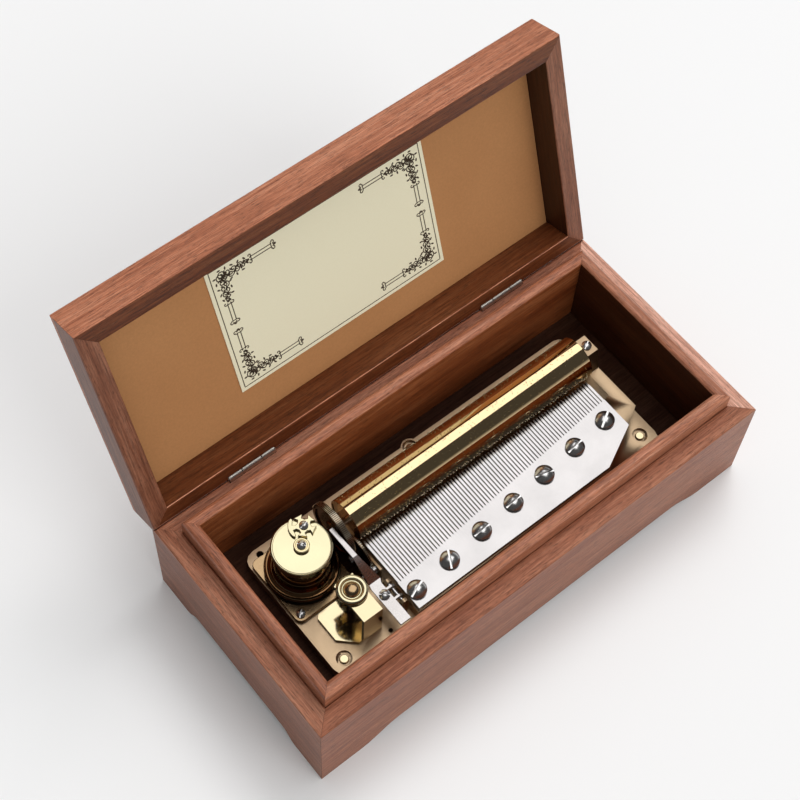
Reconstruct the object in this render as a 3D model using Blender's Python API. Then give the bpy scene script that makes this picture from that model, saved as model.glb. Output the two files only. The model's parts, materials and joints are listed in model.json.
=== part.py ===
"""Music box: an open wooden case with a spring driven cylinder movement.

Lengths are in metres. The drawing frame has its origin under the middle of the
case, with X along the case, Y from front to back and Z up. The finished part is
shifted along Y so that its origin lies under the middle of its whole outline
with the lid open.
"""

import math

import bmesh
import bpy
from mathutils import Matrix, Vector

MM = 0.001

# Clearances
GLUE_GAP = 0.10 * MM
SEAT_GAP = 0.20 * MM
SCREW_GAP = 0.20 * MM
RUN_GAP = 0.06 * MM

# Case
BOX_LENGTH = 230.0 * MM
BOX_DEPTH = 110.1 * MM
BOX_HEIGHT = 51.2 * MM
WALL = 8.6 * MM
FLOOR_TOP = 20.0 * MM
FLOOR_THICK = 5.0 * MM
FLOOR_GROOVE = 3.0 * MM
LIP_THICK = 5.4 * MM
LIP_PROUD = 8.9 * MM
LIP_ROUND = 1.9 * MM
ARCH_RISE = 5.5 * MM
FOOT_LONG = 21.0 * MM
FOOT_LONG_CURVE = 18.0 * MM
FOOT_SHORT = 18.0 * MM
FOOT_SHORT_CURVE = 8.0 * MM
ARCH_STEPS = 5
LIP_STEPS = 4

# Lid
LID_HEIGHT = 18.1 * MM
LID_PANEL = 3.0 * MM
LID_LINER = 0.5 * MM
LID_OPEN_DEG = 108.1
RIM_GAP = 0.3 * MM
BACK_BEVEL = 1.8 * MM
CARD_LEFT = -55.4 * MM
CARD_WIDTH = 105.6 * MM
CARD_BACK = 29.8 * MM
CARD_DEPTH = 66.0 * MM
CARD_THICK = 0.35 * MM

# Hinges
HINGE_INSET = 1.46 * MM
HINGE_RISE = 0.6 * MM
HINGE_LENGTH = 23.0 * MM
HINGE_CENTRE = 66.8 * MM
HINGE_MIDDLE = 9.6 * MM
KNUCKLE_RADIUS = 1.45 * MM
KNUCKLE_GAP = 0.15 * MM
HINGE_PIN_RADIUS = 0.6 * MM
LEAF_THICK = 0.8 * MM
LEAF_DEPTH = 6.5 * MM
KERF_GAP = 0.15 * MM
NECK_LAP = 0.5 * MM

# Bedplate
BED_LEFT = -88.8 * MM
BED_RIGHT = 86.5 * MM
BED_FRONT = -34.0 * MM
BED_BACK = 32.0 * MM
BED_TOP = 26.3 * MM
BED_CORNER = 5.0 * MM
PLATFORM_TOP = 33.4 * MM
PLATFORM_EDGE = 0.4 * MM
PLATFORM_CORNER = 6.0 * MM
PLATFORM_BEHIND = 2.0 * MM
PLATFORM_SLOT_LEFT = 0.6 * MM
PLATFORM_SLOT_FRONT = 1.5 * MM
PLATFORM_NECK = 0.3 * MM
MOUNT_POINTS = ((-82.6 * MM, -28.0 * MM), (80.1 * MM, -26.5 * MM), (-1.7 * MM, 29.8 * MM))
MOUNT_SCREW = 1.9 * MM
MOUNT_RECESS = 3.4 * MM
MOUNT_RECESS_DEPTH = 1.4 * MM
MOUNT_EAR = 4.1 * MM
MOUNT_EAR_STEPS = 8
MOUNT_HEAD = 3.8 * MM
MOUNT_HEAD_HIGH = 2.0 * MM
MOUNT_TIP_BELOW = 0.5 * MM
SPARE_HOLE_POINT = (-82.0 * MM, 29.0 * MM)
SPARE_HOLE = 1.6 * MM
OIL_HOLE_POINT = (-60.5 * MM, -30.2 * MM)
OIL_HOLE = 1.0 * MM

# Comb
TOOTH_COUNT = 78
TOOTH_PITCH = 1.58 * MM
TOOTH_WIDTH = 1.12 * MM
COMB_LEFT = -48.3 * MM
COMB_FRONT = -32.8 * MM
COMB_TIPS = 4.0 * MM
COMB_ROOT_LEFT = -19.2 * MM
COMB_ROOT_RIGHT = -7.3 * MM
COMB_THICK = 2.6 * MM
COMB_CHAMFER_X = 20.2 * MM
COMB_CHAMFER_Y = 9.9 * MM
COMB_SCREW_COUNT = 7
COMB_SCREW_FIRST = (-44.1 * MM, -26.1 * MM)
COMB_SCREW_STEP = (18.7 * MM, 1.83 * MM)
COMB_SCREW_HEAD = 4.2 * MM
COMB_SCREW_HIGH = 2.4 * MM
COMB_SCREW_SHANK = 1.5 * MM
COMB_SLOT_DEGREES = (20, 61, 2, 3, 164, 6, 30)
WEIGHT_COUNT = 22
WEIGHT_LONG = 6.0 * MM
WEIGHT_SHORT = 3.0 * MM
WEIGHT_HIGH = 2.4 * MM
WEIGHT_INSET = 0.1 * MM

# Cylinder
AXIS_Y = 13.9 * MM
AXIS_Z = 41.2 * MM
CYL_RADIUS = 9.8 * MM
CYL_WALL = 0.9 * MM
CYL_LEFT = -49.3 * MM
CYL_RIGHT = 77.3 * MM
CYL_END = 2.0 * MM
CYL_END_INSET = 0.3 * MM
ARBOR_RADIUS = 1.6 * MM
ARBOR_RIGHT = 86.0 * MM
GREAT_LEFT = -56.6 * MM
GREAT_WIDTH = 2.7 * MM
GREAT_TEETH = 100
FINE_MODULE = 0.25 * MM
DRIVE_PINION_WIDTH = 1.15 * MM
DRIVE_PINION_TEETH = 22
CROWN_TEETH = 48
DRIVE_MODULE = 0.5 * MM
ADDENDUM = 0.8
DEDENDUM = 1.25
SPUR_ROOT_SHARE = 0.27
SPUR_TIP_SHARE = 0.09
CROWN_ROOT_SHARE = 0.25

# Gear train between the cylinder and the governor
C_PINION_TEETH = 12
C_WHEEL_TEETH = 58
B_PINION_TEETH = 10
TRAIN_MODULE = 0.3 * MM
TRAIN_ANGLE_C = math.radians(213.3)
TRAIN_ANGLE_B = math.radians(174.4)
WHEEL_C_LEFT = -51.9 * MM
WHEEL_C_WIDTH = 1.0 * MM
TRAIN_ARBOR = 0.7 * MM
BEARING_LUG_LEFT = -50.6 * MM
BEARING_LUG_THICK = 1.0 * MM
BEARING_REACH = 2.6 * MM
BRACKET_LEFT = -53.6 * MM
BRACKET_THICK = 1.1 * MM
BRACKET_ROUND = 4.6 * MM
BRACKET_BACK = 24.0 * MM
BRACKET_FOOT = 5.0 * MM
BRACKET_SHOULDER = 4.0 * MM
BRACKET_STEPS = 9
PINION_OVER_LEFT = 0.3 * MM
PINION_OVER_RIGHT = 0.1 * MM
ARBOR_B_STUB = 0.8 * MM
RUN_OPENING = (-64.0 * MM, -50.9 * MM, -8.5 * MM, 12.0 * MM)

# Governor
FLY_X = -67.6 * MM
WORM_STARTS = 2
WORM_WHEEL_TEETH = 18
WORM_MODULE = 0.45 * MM
WORM_RADIUS = 1.5 * MM
WORM_HALF = 3.6 * MM
WORM_WHEEL_WIDTH = 1.6 * MM
WORM_WHEEL_SHARES = (0.24, 0.08)
WORM_FOOT_SHARE = 0.22
WORM_CREST_SHARE = 0.08
WORM_DEEP = 1.1
WORM_LAP = 0.25 * MM
WORM_STEPS = 12
WING_LOW = 40.0 * MM
WING_HIGH = 44.0 * MM
WING_SPAN = 5.7 * MM
WING_THICK = 0.5 * MM
WING_HUB = 1.5 * MM
FLY_SPINDLE = 0.6 * MM
GOV_BASE_HIGH = 1.5 * MM
GOV_LEFT = -81.0 * MM
GOV_RIGHT = -62.6 * MM
GOV_FRONT = -27.0 * MM
GOV_BACK = -7.0 * MM
GOV_TOP = 46.0 * MM
GOV_TOP_THICK = 1.5 * MM
GOV_TOP_LEFT = -72.0 * MM
GOV_WALL = 1.4 * MM
GOV_CHAMFER = (6.8 * MM, 6.6 * MM)
GOV_BACK_CUT = 1.6 * MM
GOV_SIDE_REACH = 7.0 * MM
GOV_SINK = 0.5 * MM
# Outline of the governor's cap in mm: radius, and height above its seat
GOV_CAP = ((0.0, 0.0), (6.5, 0.0), (6.5, 1.3), (5.8, 1.9), (4.3, 1.9), (4.0, 1.1), (2.7, 1.1),
           (2.4, 1.7), (1.4, 2.3), (0.0, 2.5))
SPINDLE_FOOT = 0.9 * MM

# Spring barrel
BARREL_X = -72.7 * MM
BARREL_Y = 12.4 * MM
BARREL_RADIUS = 11.3 * MM
BARREL_WALL = 0.8 * MM
BARREL_FLOOR = 30.4 * MM
BARREL_CAP_TOP = 50.2 * MM
BARREL_CAP_OVER = 1.3 * MM
BARREL_FLARE = 1.6 * MM
BARREL_CAP_EDGE = 0.5 * MM
BARREL_FLANGE_OVER = 4.5 * MM
BARREL_FLANGE_HIGH = 1.6 * MM
CROWN_WIDTH = 1.05 * MM
PLATE_LEFT = -88.4 * MM
PLATE_RIGHT = -58.6 * MM
PLATE_FRONT = -6.2 * MM
PLATE_BACK = 27.6 * MM
PLATE_HIGH = 2.0 * MM
PLATE_CORNER = 3.0 * MM
PLATE_SCREW_INSET = 3.2 * MM
PLATE_SCREW_TURN = 0.7
WINDING_RADIUS = 2.0 * MM
WINDING_LOW = 9.0 * MM
WINDING_TURN = 2.2
ARBOR_NECK = 1.0 * MM
SPRING_TURNS = 6
SPRING_STEPS = 14
SPRING_CLEAR_IN = 0.6 * MM
SPRING_CLEAR_OUT = 0.3 * MM
SPRING_CLEAR_LOW = 0.5 * MM
SPRING_THICK = 0.35 * MM
SPRING_HIGH = 14.0 * MM
COLLAR_RADIUS = 3.3 * MM
COLLAR_HIGH = 1.6 * MM
FINGER_ANGLE = math.radians(250.0)
FINGER_HALF = 0.2
FINGER_PROUD = 0.25 * MM
CROSS_REACH = 8.7 * MM
CROSS_ANGLE = math.radians(47.0)
CROSS_HIGH = 1.2 * MM
CROSS_ARMS = 5
CROSS_ARM = 5.3 * MM
CROSS_ARM_FAN = (-22, 0, 22)
CROSS_ARM_DIP = -0.5 * MM
CROSS_STOP = 4
CROSS_STOP_ARM = 6.2 * MM
CROSS_STOP_FAN = (-29, -15, 0, 15, 29)
CROSS_HUB = 3.0 * MM
CROSS_SCREW = 1.9 * MM
CROSS_SCREW_DEEP = 1.8 * MM
CROSS_SCREW_TURN = 0.2
RATCHET_TEETH = 16
RATCHET_RADIUS = 6.0 * MM
RATCHET_HIGH = 1.6 * MM
RATCHET_TOOTH = 0.9 * MM
RATCHET_LEAN = 0.04
RATCHET_RISE = 0.8 * MM
# Outline of the click in mm from the barrel's axis
CLICK = ((6.2, -0.4), (6.2, 0.6), (10.4, 5.6), (11.4, 3.2))
RATCHET_POCKET = 12.5 * MM
RATCHET_POCKET_HIGH = 3.4 * MM
KEY_LOW = 2.0 * MM
KEY_WING_HIGH = 7.5 * MM
KEY_WING_SPAN = 13.0 * MM
KEY_WING_THICK = 2.4 * MM
KEY_WING_CORNER = 3.0 * MM
KEY_HUB = 3.4 * MM
KEY_TOP = 14.0 * MM
KEY_HOLE = 5.0 * MM

# Stop lever
LEVER_AXIS_X = -51.5 * MM
LEVER_AXIS_Z = 36.0 * MM
LEVER_LEFT = -59.1 * MM
LEVER_RIGHT = -54.0 * MM
LEVER_FRONT = -34.4 * MM
LEVER_BEND = -13.5 * MM
LEVER_BEND_RIGHT = -53.0 * MM
LEVER_BEND_LEFT = -58.6 * MM
LEVER_SHOULDER = -15.5 * MM
LEVER_UNDER = 37.5 * MM
LEVER_THICK = 1.0 * MM
BLADE_UNDER = 47.7 * MM
BLADE_FROM_BARREL = 0.9 * MM
BLADE_RIGHT = -57.0 * MM
BLADE_TIP_RIGHT = -57.4 * MM
BLADE_FRONT = -3.5 * MM
BLADE_TIP = 12.0 * MM
PIVOT_RADIUS = 0.8 * MM
PIVOT_FRONT = -27.6 * MM
PIVOT_BACK = -15.4 * MM
LUG_THICK = 1.6 * MM
LUG_HALF = 1.9 * MM
TAB_FRONT = -24.6 * MM
TAB_BACK = -18.4 * MM
TAB_THICK = 1.0 * MM
TAB_LAP = 0.6 * MM
TAB_REACH = 1.5 * MM
LEVER_SCREW = 2.3 * MM
LEVER_SCREW_POINT = (-56.3 * MM, -20.5 * MM)
LEVER_SCREW_TURN = 2.4

# Right bearing
BLOCK_LEFT = 78.7 * MM
BLOCK_RIGHT = 85.0 * MM
BLOCK_FRONT = 7.0 * MM
BLOCK_BACK = 18.5 * MM
BLOCK_TOP = 45.4 * MM
BLOCK_SLOPE = 2.6 * MM
BLOCK_SCREW = 2.2 * MM
BLOCK_SCREW_POINT = (82.2 * MM, 14.0 * MM)
BLOCK_SCREW_DEEP = 1.8 * MM
BLOCK_SCREW_TURN = 0.5

# Screws; the shares are parts of the head's radius or height
SLOT_HALF_SHARE = 0.13
SLOT_DEEP_SHARE = 0.45
HEAD_WALL_SHARE = 0.5
HEAD_TOP_SHARE = 0.72
HEAD_STEPS = 6
SMALL_HEAD = 1.9 * MM
SMALL_HEAD_HIGH = 1.1 * MM
SMALL_SHANK = 0.9 * MM
SMALL_SHANK_LONG = 3.0 * MM

# Sides of round pieces
ROUND = 24
FINE = 16
SMALL = 12


# Derived places
HALF_LENGTH = BOX_LENGTH / 2
HALF_DEPTH = BOX_DEPTH / 2
FLOOR_UNDER = FLOOR_TOP - FLOOR_THICK
LIP_TOP = BOX_HEIGHT + LIP_PROUD
HINGE_Y = HALF_DEPTH - HINGE_INSET
HINGE_Z = BOX_HEIGHT + HINGE_RISE
LID_RIM = BOX_HEIGHT + RIM_GAP
LID_TOP = BOX_HEIGHT + LID_HEIGHT
LID_OPEN = math.radians(LID_OPEN_DEG)
BED_UNDER = FLOOR_TOP + SEAT_GAP
COMB_UNDER = PLATFORM_TOP + SEAT_GAP
COMB_TOP = COMB_UNDER + COMB_THICK
COMB_RIGHT = COMB_LEFT + TOOTH_COUNT * TOOTH_PITCH
GREAT_RADIUS = GREAT_TEETH * FINE_MODULE / 2
PINION_C_RADIUS = C_PINION_TEETH * FINE_MODULE / 2
REACH_C = GREAT_RADIUS + PINION_C_RADIUS
C_Y = AXIS_Y + REACH_C * math.cos(TRAIN_ANGLE_C)
C_Z = AXIS_Z + REACH_C * math.sin(TRAIN_ANGLE_C)
REACH_B = (C_WHEEL_TEETH + B_PINION_TEETH) * TRAIN_MODULE / 2
B_Y = C_Y + REACH_B * math.cos(TRAIN_ANGLE_B)
B_Z = C_Z + REACH_B * math.sin(TRAIN_ANGLE_B)
WORM_WHEEL_RADIUS = WORM_WHEEL_TEETH * WORM_MODULE / 2
FLY_AXIS_Y = B_Y - WORM_WHEEL_RADIUS - WORM_RADIUS
DRIVE_RADIUS = DRIVE_PINION_TEETH * DRIVE_MODULE / 2
CROWN_PITCH_Z = AXIS_Z + DRIVE_RADIUS
CROWN_ROOT_Z = CROWN_PITCH_Z + DEDENDUM * DRIVE_MODULE
CROWN_INNER = BARREL_RADIUS + SEAT_GAP
BARREL_CAP_RADIUS = BARREL_RADIUS + BARREL_CAP_OVER
BARREL_FLANGE_RADIUS = BARREL_RADIUS + BARREL_FLANGE_OVER
BLADE_LEFT = BARREL_X + BARREL_CAP_RADIUS + BLADE_FROM_BARREL
DRIVE_PINION_LEFT = BARREL_X + CROWN_INNER + RUN_GAP
CROSS_X = BARREL_X + CROSS_REACH * math.cos(CROSS_ANGLE)
CROSS_Y = BARREL_Y + CROSS_REACH * math.sin(CROSS_ANGLE)
SPARE_TOP = BED_TOP + SEAT_GAP
DRILL_LOW = -MM
DRILL_TOP = max(BOX_HEIGHT, BARREL_CAP_TOP + BARREL_FLANGE_HIGH) + WALL


def swung_point(y, z):
    """A point of the closed lid, swung open about the hinge axis."""
    dy, dz = y - HINGE_Y, z - HINGE_Z
    turn = -LID_OPEN
    return (HINGE_Y + dy * math.cos(turn) - dz * math.sin(turn),
            HINGE_Z + dy * math.sin(turn) + dz * math.cos(turn))


REARMOST = max(swung_point(y, z)[0] for y in (-HALF_DEPTH, HALF_DEPTH) for z in (LID_RIM, LID_TOP))
FRAME_SHIFT = (REARMOST - HALF_DEPTH) / 2


# Materials

FINISHES = {
    "case_wood": ((0.33, 0.12, 0.06), 0.32, 0.0),
    "lining_wood": ((0.30, 0.11, 0.06), 0.35, 0.0),
    "floor_wood": ((0.10, 0.05, 0.035), 0.6, 0.0),
    "liner_paper": ((0.46, 0.23, 0.10), 0.7, 0.0),
    "card": ((0.93, 0.90, 0.82), 0.6, 0.0),
    "hinge_brass": ((0.78, 0.57, 0.25), 0.3, 1.0),
    "bed_casting": ((0.72, 0.60, 0.45), 0.38, 1.0),
    "cylinder_brass": ((0.62, 0.48, 0.28), 0.25, 1.0),
    "gold": ((0.90, 0.72, 0.38), 0.22, 1.0),
    "comb_steel": ((0.80, 0.80, 0.80), 0.22, 1.0),
    "screw_steel": ((0.62, 0.61, 0.60), 0.25, 1.0),
    "dark_steel": ((0.16, 0.15, 0.15), 0.35, 1.0),
    "lever_steel": ((0.78, 0.77, 0.75), 0.3, 1.0),
}


def finish(name):
    """The material of that name, made on its first use."""
    found = bpy.data.materials.get(name)
    if found:
        return found
    colour, roughness, metallic = FINISHES[name]
    material = bpy.data.materials.new(name)
    material.use_nodes = True
    shader = material.node_tree.nodes["Principled BSDF"]
    shader.inputs["Base Color"].default_value = (*colour, 1.0)
    shader.inputs["Roughness"].default_value = roughness
    shader.inputs["Metallic"].default_value = metallic
    return material


# Bodies: an empty on each joint's axis

PIVOTS = {}


def make_body(name, pivot, turn=0.0, parent=None):
    """An empty at a pivot of the drawing frame; its pieces hang on it."""
    empty = bpy.data.objects.new(name, None)
    bpy.context.scene.collection.objects.link(empty)
    empty.parent = parent
    empty.location = pivot
    empty.rotation_euler = (turn, 0.0, 0.0)
    PIVOTS[name] = (empty, Vector(pivot))
    return empty


def add_piece(name, mesh_data, finish_name, body, smooth=False):
    """An object whose mesh is given in the drawing frame, hung on its body."""
    empty, pivot = PIVOTS[body]
    bmesh.ops.recalc_face_normals(mesh_data, faces=mesh_data.faces)
    bmesh.ops.translate(mesh_data, verts=mesh_data.verts, vec=-pivot)
    mesh = bpy.data.meshes.new(name)
    mesh_data.to_mesh(mesh)
    mesh_data.free()
    if smooth:
        mesh.shade_smooth()
        mesh.set_sharp_from_angle(angle=math.radians(35))
    mesh.materials.append(finish(finish_name))
    piece = bpy.data.objects.new(name, mesh)
    bpy.context.scene.collection.objects.link(piece)
    piece.parent = empty
    return piece


def apply_tool(piece, tool_mesh, body, operation, label):
    """Cut a piece with, or join it to, another shape of the drawing frame."""
    tool = add_piece(piece.name + "_" + label, tool_mesh, "case_wood", body)
    tool.hide_render = True
    tool.display_type = "WIRE"
    change = piece.modifiers.new(label, "BOOLEAN")
    change.operation = operation
    change.solver = "EXACT"
    change.object = tool
    return piece


def cut(piece, tool_mesh, body="case", label="cut"):
    """Take a shape out of a piece."""
    return apply_tool(piece, tool_mesh, body, "DIFFERENCE", label)


def unite(piece, tool_mesh, body="case", label="part"):
    """Join a shape to a piece as one solid."""
    return apply_tool(piece, tool_mesh, body, "UNION", label)


# Shapes, all in the drawing frame

def on_axis(axis, u, v, w):
    """A point with w along the axis and u, v across it."""
    if axis == "X":
        return Vector((w, u, v))
    if axis == "Y":
        return Vector((u, w, v))
    return Vector((u, v, w))


def prism(outline, low, high, axis="Z", into=None):
    """A closed solid: an outline across an axis, drawn out from low to high."""
    shape = into or bmesh.new()
    ends = []
    for level in (low, high):
        ends.append([shape.verts.new(on_axis(axis, u, v, level)) for u, v in outline])
    count = len(outline)
    shape.faces.new(reversed(ends[0]))
    shape.faces.new(ends[1])
    for i in range(count):
        j = (i + 1) % count
        shape.faces.new((ends[0][i], ends[0][j], ends[1][j], ends[1][i]))
    return shape


def block(low, high, into=None):
    """A box between two corners."""
    outline = [(low[0], low[1]), (high[0], low[1]), (high[0], high[1]), (low[0], high[1])]
    return prism(outline, low[2], high[2], "Z", into)


def circle_points(radius, centre=(0.0, 0.0), segments=ROUND, start=0.0):
    """Points round a circle."""
    return [(centre[0] + radius * math.cos(start + math.tau * i / segments),
             centre[1] + radius * math.sin(start + math.tau * i / segments))
            for i in range(segments)]


def rod(radius, centre, low, high, axis="Z", segments=FINE, into=None):
    """A round bar along an axis; centre gives its place across the axis."""
    return prism(circle_points(radius, centre, segments), low, high, axis, into)


def lathe(profile, centre, axis="Z", segments=ROUND, into=None):
    """A turned solid; the profile is a closed run of (radius, height) points."""
    shape = into or bmesh.new()
    rings = []
    for radius, height in profile:
        if radius < 1e-7:
            rings.append([shape.verts.new(on_axis(axis, centre[0], centre[1], height))])
        else:
            rings.append([shape.verts.new(on_axis(axis, u, v, height))
                          for u, v in circle_points(radius, centre, segments)])
    for i, first in enumerate(rings):
        second = rings[(i + 1) % len(rings)]
        if len(first) == 1 and len(second) == 1:
            continue
        for k in range(segments):
            n = (k + 1) % segments
            if len(first) == 1:
                shape.faces.new((first[0], second[k], second[n]))
            elif len(second) == 1:
                shape.faces.new((first[k], first[n], second[0]))
            else:
                shape.faces.new((first[k], first[n], second[n], second[k]))
    return shape


def rounded_rectangle(left, right, front, back, radius, steps=3):
    """Outline of a rectangle with round corners."""
    points = []
    corners = ((right - radius, back - radius, 0), (left + radius, back - radius, 90),
               (left + radius, front + radius, 180), (right - radius, front + radius, 270))
    for x, y, start in corners:
        for i in range(steps + 1):
            angle = math.radians(start + 90 * i / steps)
            points.append((x + radius * math.cos(angle), y + radius * math.sin(angle)))
    return points


def gear_outline(teeth, module, centre, phase, root_share=SPUR_ROOT_SHARE,
                 tip_share=SPUR_TIP_SHARE):
    """Outline of a spur gear with slim straight sided teeth.

    The phase is the angle of one tooth's middle. The shares are half widths of a
    tooth as parts of the pitch, slim enough to run with clearance.
    """
    pitch_radius = teeth * module / 2
    tip = pitch_radius + ADDENDUM * module
    root = pitch_radius - DEDENDUM * module
    step = math.tau / teeth
    points = []
    for i in range(teeth):
        middle = phase + i * step
        for share, radius in ((-root_share, root), (-tip_share, tip),
                              (tip_share, tip), (root_share, root)):
            angle = middle + share * step
            points.append((centre[0] + radius * math.cos(angle),
                           centre[1] + radius * math.sin(angle)))
    return points


def slotted_screw(centre, seat, head_radius, head_high, shank_radius, shank_end,
                  slot_angle=0.0, axis_up=1.0):
    """A slotted screw: a low domed head on its seat and a plain shank.

    The head rises from the seat for axis_up 1 and hangs below it for -1.
    """
    into = bmesh.new()
    profile = ((shank_radius, shank_end), (shank_radius, seat), (head_radius, seat),
               (head_radius, seat + axis_up * head_high * HEAD_WALL_SHARE),
               (head_radius * HEAD_TOP_SHARE, seat + axis_up * head_high))
    rings = []
    for radius, height in profile:
        rings.append([into.verts.new((centre[0] + radius * math.cos(angle),
                                      centre[1] + radius * math.sin(angle), height))
                      for angle in slot_angles(slot_angle)])
    count = len(rings[0])
    into.faces.new(rings[0])
    for first, second in zip(rings, rings[1:]):
        for k in range(count):
            n = (k + 1) % count
            into.faces.new((first[k], first[n], second[n], second[k]))
    close_slotted_top(into, rings[-1], seat + axis_up * head_high * (1 - SLOT_DEEP_SHARE))
    return into


def slot_angles(slot_angle):
    """Angles round a screw head; four of them bound the slot's two ends."""
    half = math.asin(SLOT_HALF_SHARE / HEAD_TOP_SHARE)
    span = math.pi - 2 * half
    angles = []
    for start in (slot_angle, slot_angle + math.pi):
        angles.append(start - half)
        angles += [start + half + span * i / HEAD_STEPS for i in range(HEAD_STEPS)]
    return angles


def close_slotted_top(into, top, floor):
    """Close a screw head's flat top with a slot cut across it."""
    count = len(top)
    half = count // 2
    bottom_a = [into.verts.new((v.co.x, v.co.y, floor)) for v in (top[0], top[1])]
    bottom_b = [into.verts.new((v.co.x, v.co.y, floor)) for v in (top[half], top[half + 1])]
    into.faces.new([top[i] for i in range(1, half + 1)])
    into.faces.new([top[i % count] for i in range(half + 1, count + 1)])
    into.faces.new((top[0], top[1], bottom_a[1], bottom_a[0]))
    into.faces.new((top[half], top[half + 1], bottom_b[1], bottom_b[0]))
    into.faces.new((top[1], top[half], bottom_b[0], bottom_a[1]))
    into.faces.new((top[half + 1], top[0], bottom_a[0], bottom_b[1]))
    into.faces.new((bottom_a[0], bottom_a[1], bottom_b[0], bottom_b[1]))


# Case and lid: strips with mitred ends

SIDES = {"front": 0, "right": 1, "back": 2, "left": 3}


def mitred_strip(side, profile, half_long, half_short):
    """A straight strip round a rectangle, its ends cut at 45 degrees.

    The profile is (distance in from the outer face, height).
    """
    turn = Matrix.Rotation(SIDES[side] * math.pi / 2, 3, "Z")
    along_x = side in ("front", "back")
    run = half_long if along_x else half_short
    reach = half_short if along_x else half_long
    shape = bmesh.new()
    ends = []
    for sign in (-1.0, 1.0):
        ends.append([shape.verts.new(turn @ Vector((sign * (run - u - GLUE_GAP), u - reach, z)))
                     for u, z in profile])
    count = len(profile)
    shape.faces.new(reversed(ends[0]))
    shape.faces.new(ends[1])
    for i in range(count):
        j = (i + 1) % count
        shape.faces.new((ends[0][i], ends[0][j], ends[1][j], ends[1][i]))
    return shape


def arch_outline(half, foot, curve):
    """Outline of the low arch between two feet, in (run, height)."""
    points = [(-(half - foot), -MM)]
    for i in range(ARCH_STEPS + 1):
        share = i / ARCH_STEPS
        height = ARCH_RISE * (1 - math.cos(math.pi * share)) / 2
        points.append((-(half - foot) + curve * share, height))
    points += [(-x, z) for x, z in reversed(points)]
    return points


def bevel_outline(outer, corner, direction):
    """Triangle, in (y, z), that takes the back edge off the case or the lid."""
    reach = BACK_BEVEL + MM
    return [(outer - BACK_BEVEL - MM, corner + direction * MM),
            (outer + MM, corner - direction * reach),
            (outer + MM, corner + direction * MM)]


def build_case():
    """Four mitred walls, the bottom panel and the four lining strips."""
    wall = [(0, 0), (WALL, 0), (WALL, BOX_HEIGHT), (0, BOX_HEIGHT)]
    clear = GLUE_GAP + SEAT_GAP
    groove_low = (-(HALF_LENGTH - WALL + FLOOR_GROOVE), -(HALF_DEPTH - WALL + FLOOR_GROOVE),
                  FLOOR_UNDER)
    groove_high = (-groove_low[0], -groove_low[1], FLOOR_TOP)
    for side in SIDES:
        piece = add_piece("case_wall_" + side, mitred_strip(side, wall, HALF_LENGTH, HALF_DEPTH),
                          "case_wood", "case")
        cut(piece, block([v - clear for v in groove_low], [v + clear for v in groove_high]),
            label="groove")
        if side in ("front", "back"):
            arch = arch_outline(HALF_LENGTH, FOOT_LONG, FOOT_LONG_CURVE)
            cut(piece, prism(arch, -BOX_DEPTH, BOX_DEPTH, "Y"), label="arch")
        else:
            arch = arch_outline(HALF_DEPTH, FOOT_SHORT, FOOT_SHORT_CURVE)
            cut(piece, prism(arch, -BOX_LENGTH, BOX_LENGTH, "X"), label="arch")
        if side != "front":
            edge = bevel_outline(HALF_DEPTH, BOX_HEIGHT, 1.0)
            cut(piece, prism(edge, -BOX_LENGTH, BOX_LENGTH, "X"), label="edge")
        if side == "back":
            cut_hinge_seats(piece, "case", -1.0)

    panel = add_piece("bottom_panel", block(groove_low, groove_high), "floor_wood", "case")
    holes = rod(KEY_HOLE, (BARREL_X, BARREL_Y), DRILL_LOW, DRILL_TOP, segments=ROUND)
    for point in MOUNT_POINTS:
        rod(MOUNT_SCREW + SCREW_GAP, point, DRILL_LOW, DRILL_TOP, segments=SMALL, into=holes)
    cut(panel, holes, label="holes")

    lip_low = FLOOR_TOP + SEAT_GAP
    lip = [(0, lip_low), (LIP_THICK, lip_low), (LIP_THICK, LIP_TOP - LIP_ROUND)]
    for i in range(1, LIP_STEPS + 1):
        angle = math.pi / 2 * i / LIP_STEPS
        lip.append((LIP_THICK - LIP_ROUND * (1 - math.cos(angle)),
                    LIP_TOP - LIP_ROUND * (1 - math.sin(angle))))
    for i in range(LIP_STEPS):
        angle = math.pi / 2 * i / LIP_STEPS
        lip.append((LIP_ROUND * (1 - math.sin(angle)), LIP_TOP - LIP_ROUND * (1 - math.cos(angle))))
    lip.append((0, LIP_TOP - LIP_ROUND))
    inside_long = HALF_LENGTH - WALL - GLUE_GAP
    inside_short = HALF_DEPTH - WALL - GLUE_GAP
    for side in SIDES:
        add_piece("lining_strip_" + side, mitred_strip(side, lip, inside_long, inside_short),
                  "lining_wood", "case")


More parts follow.
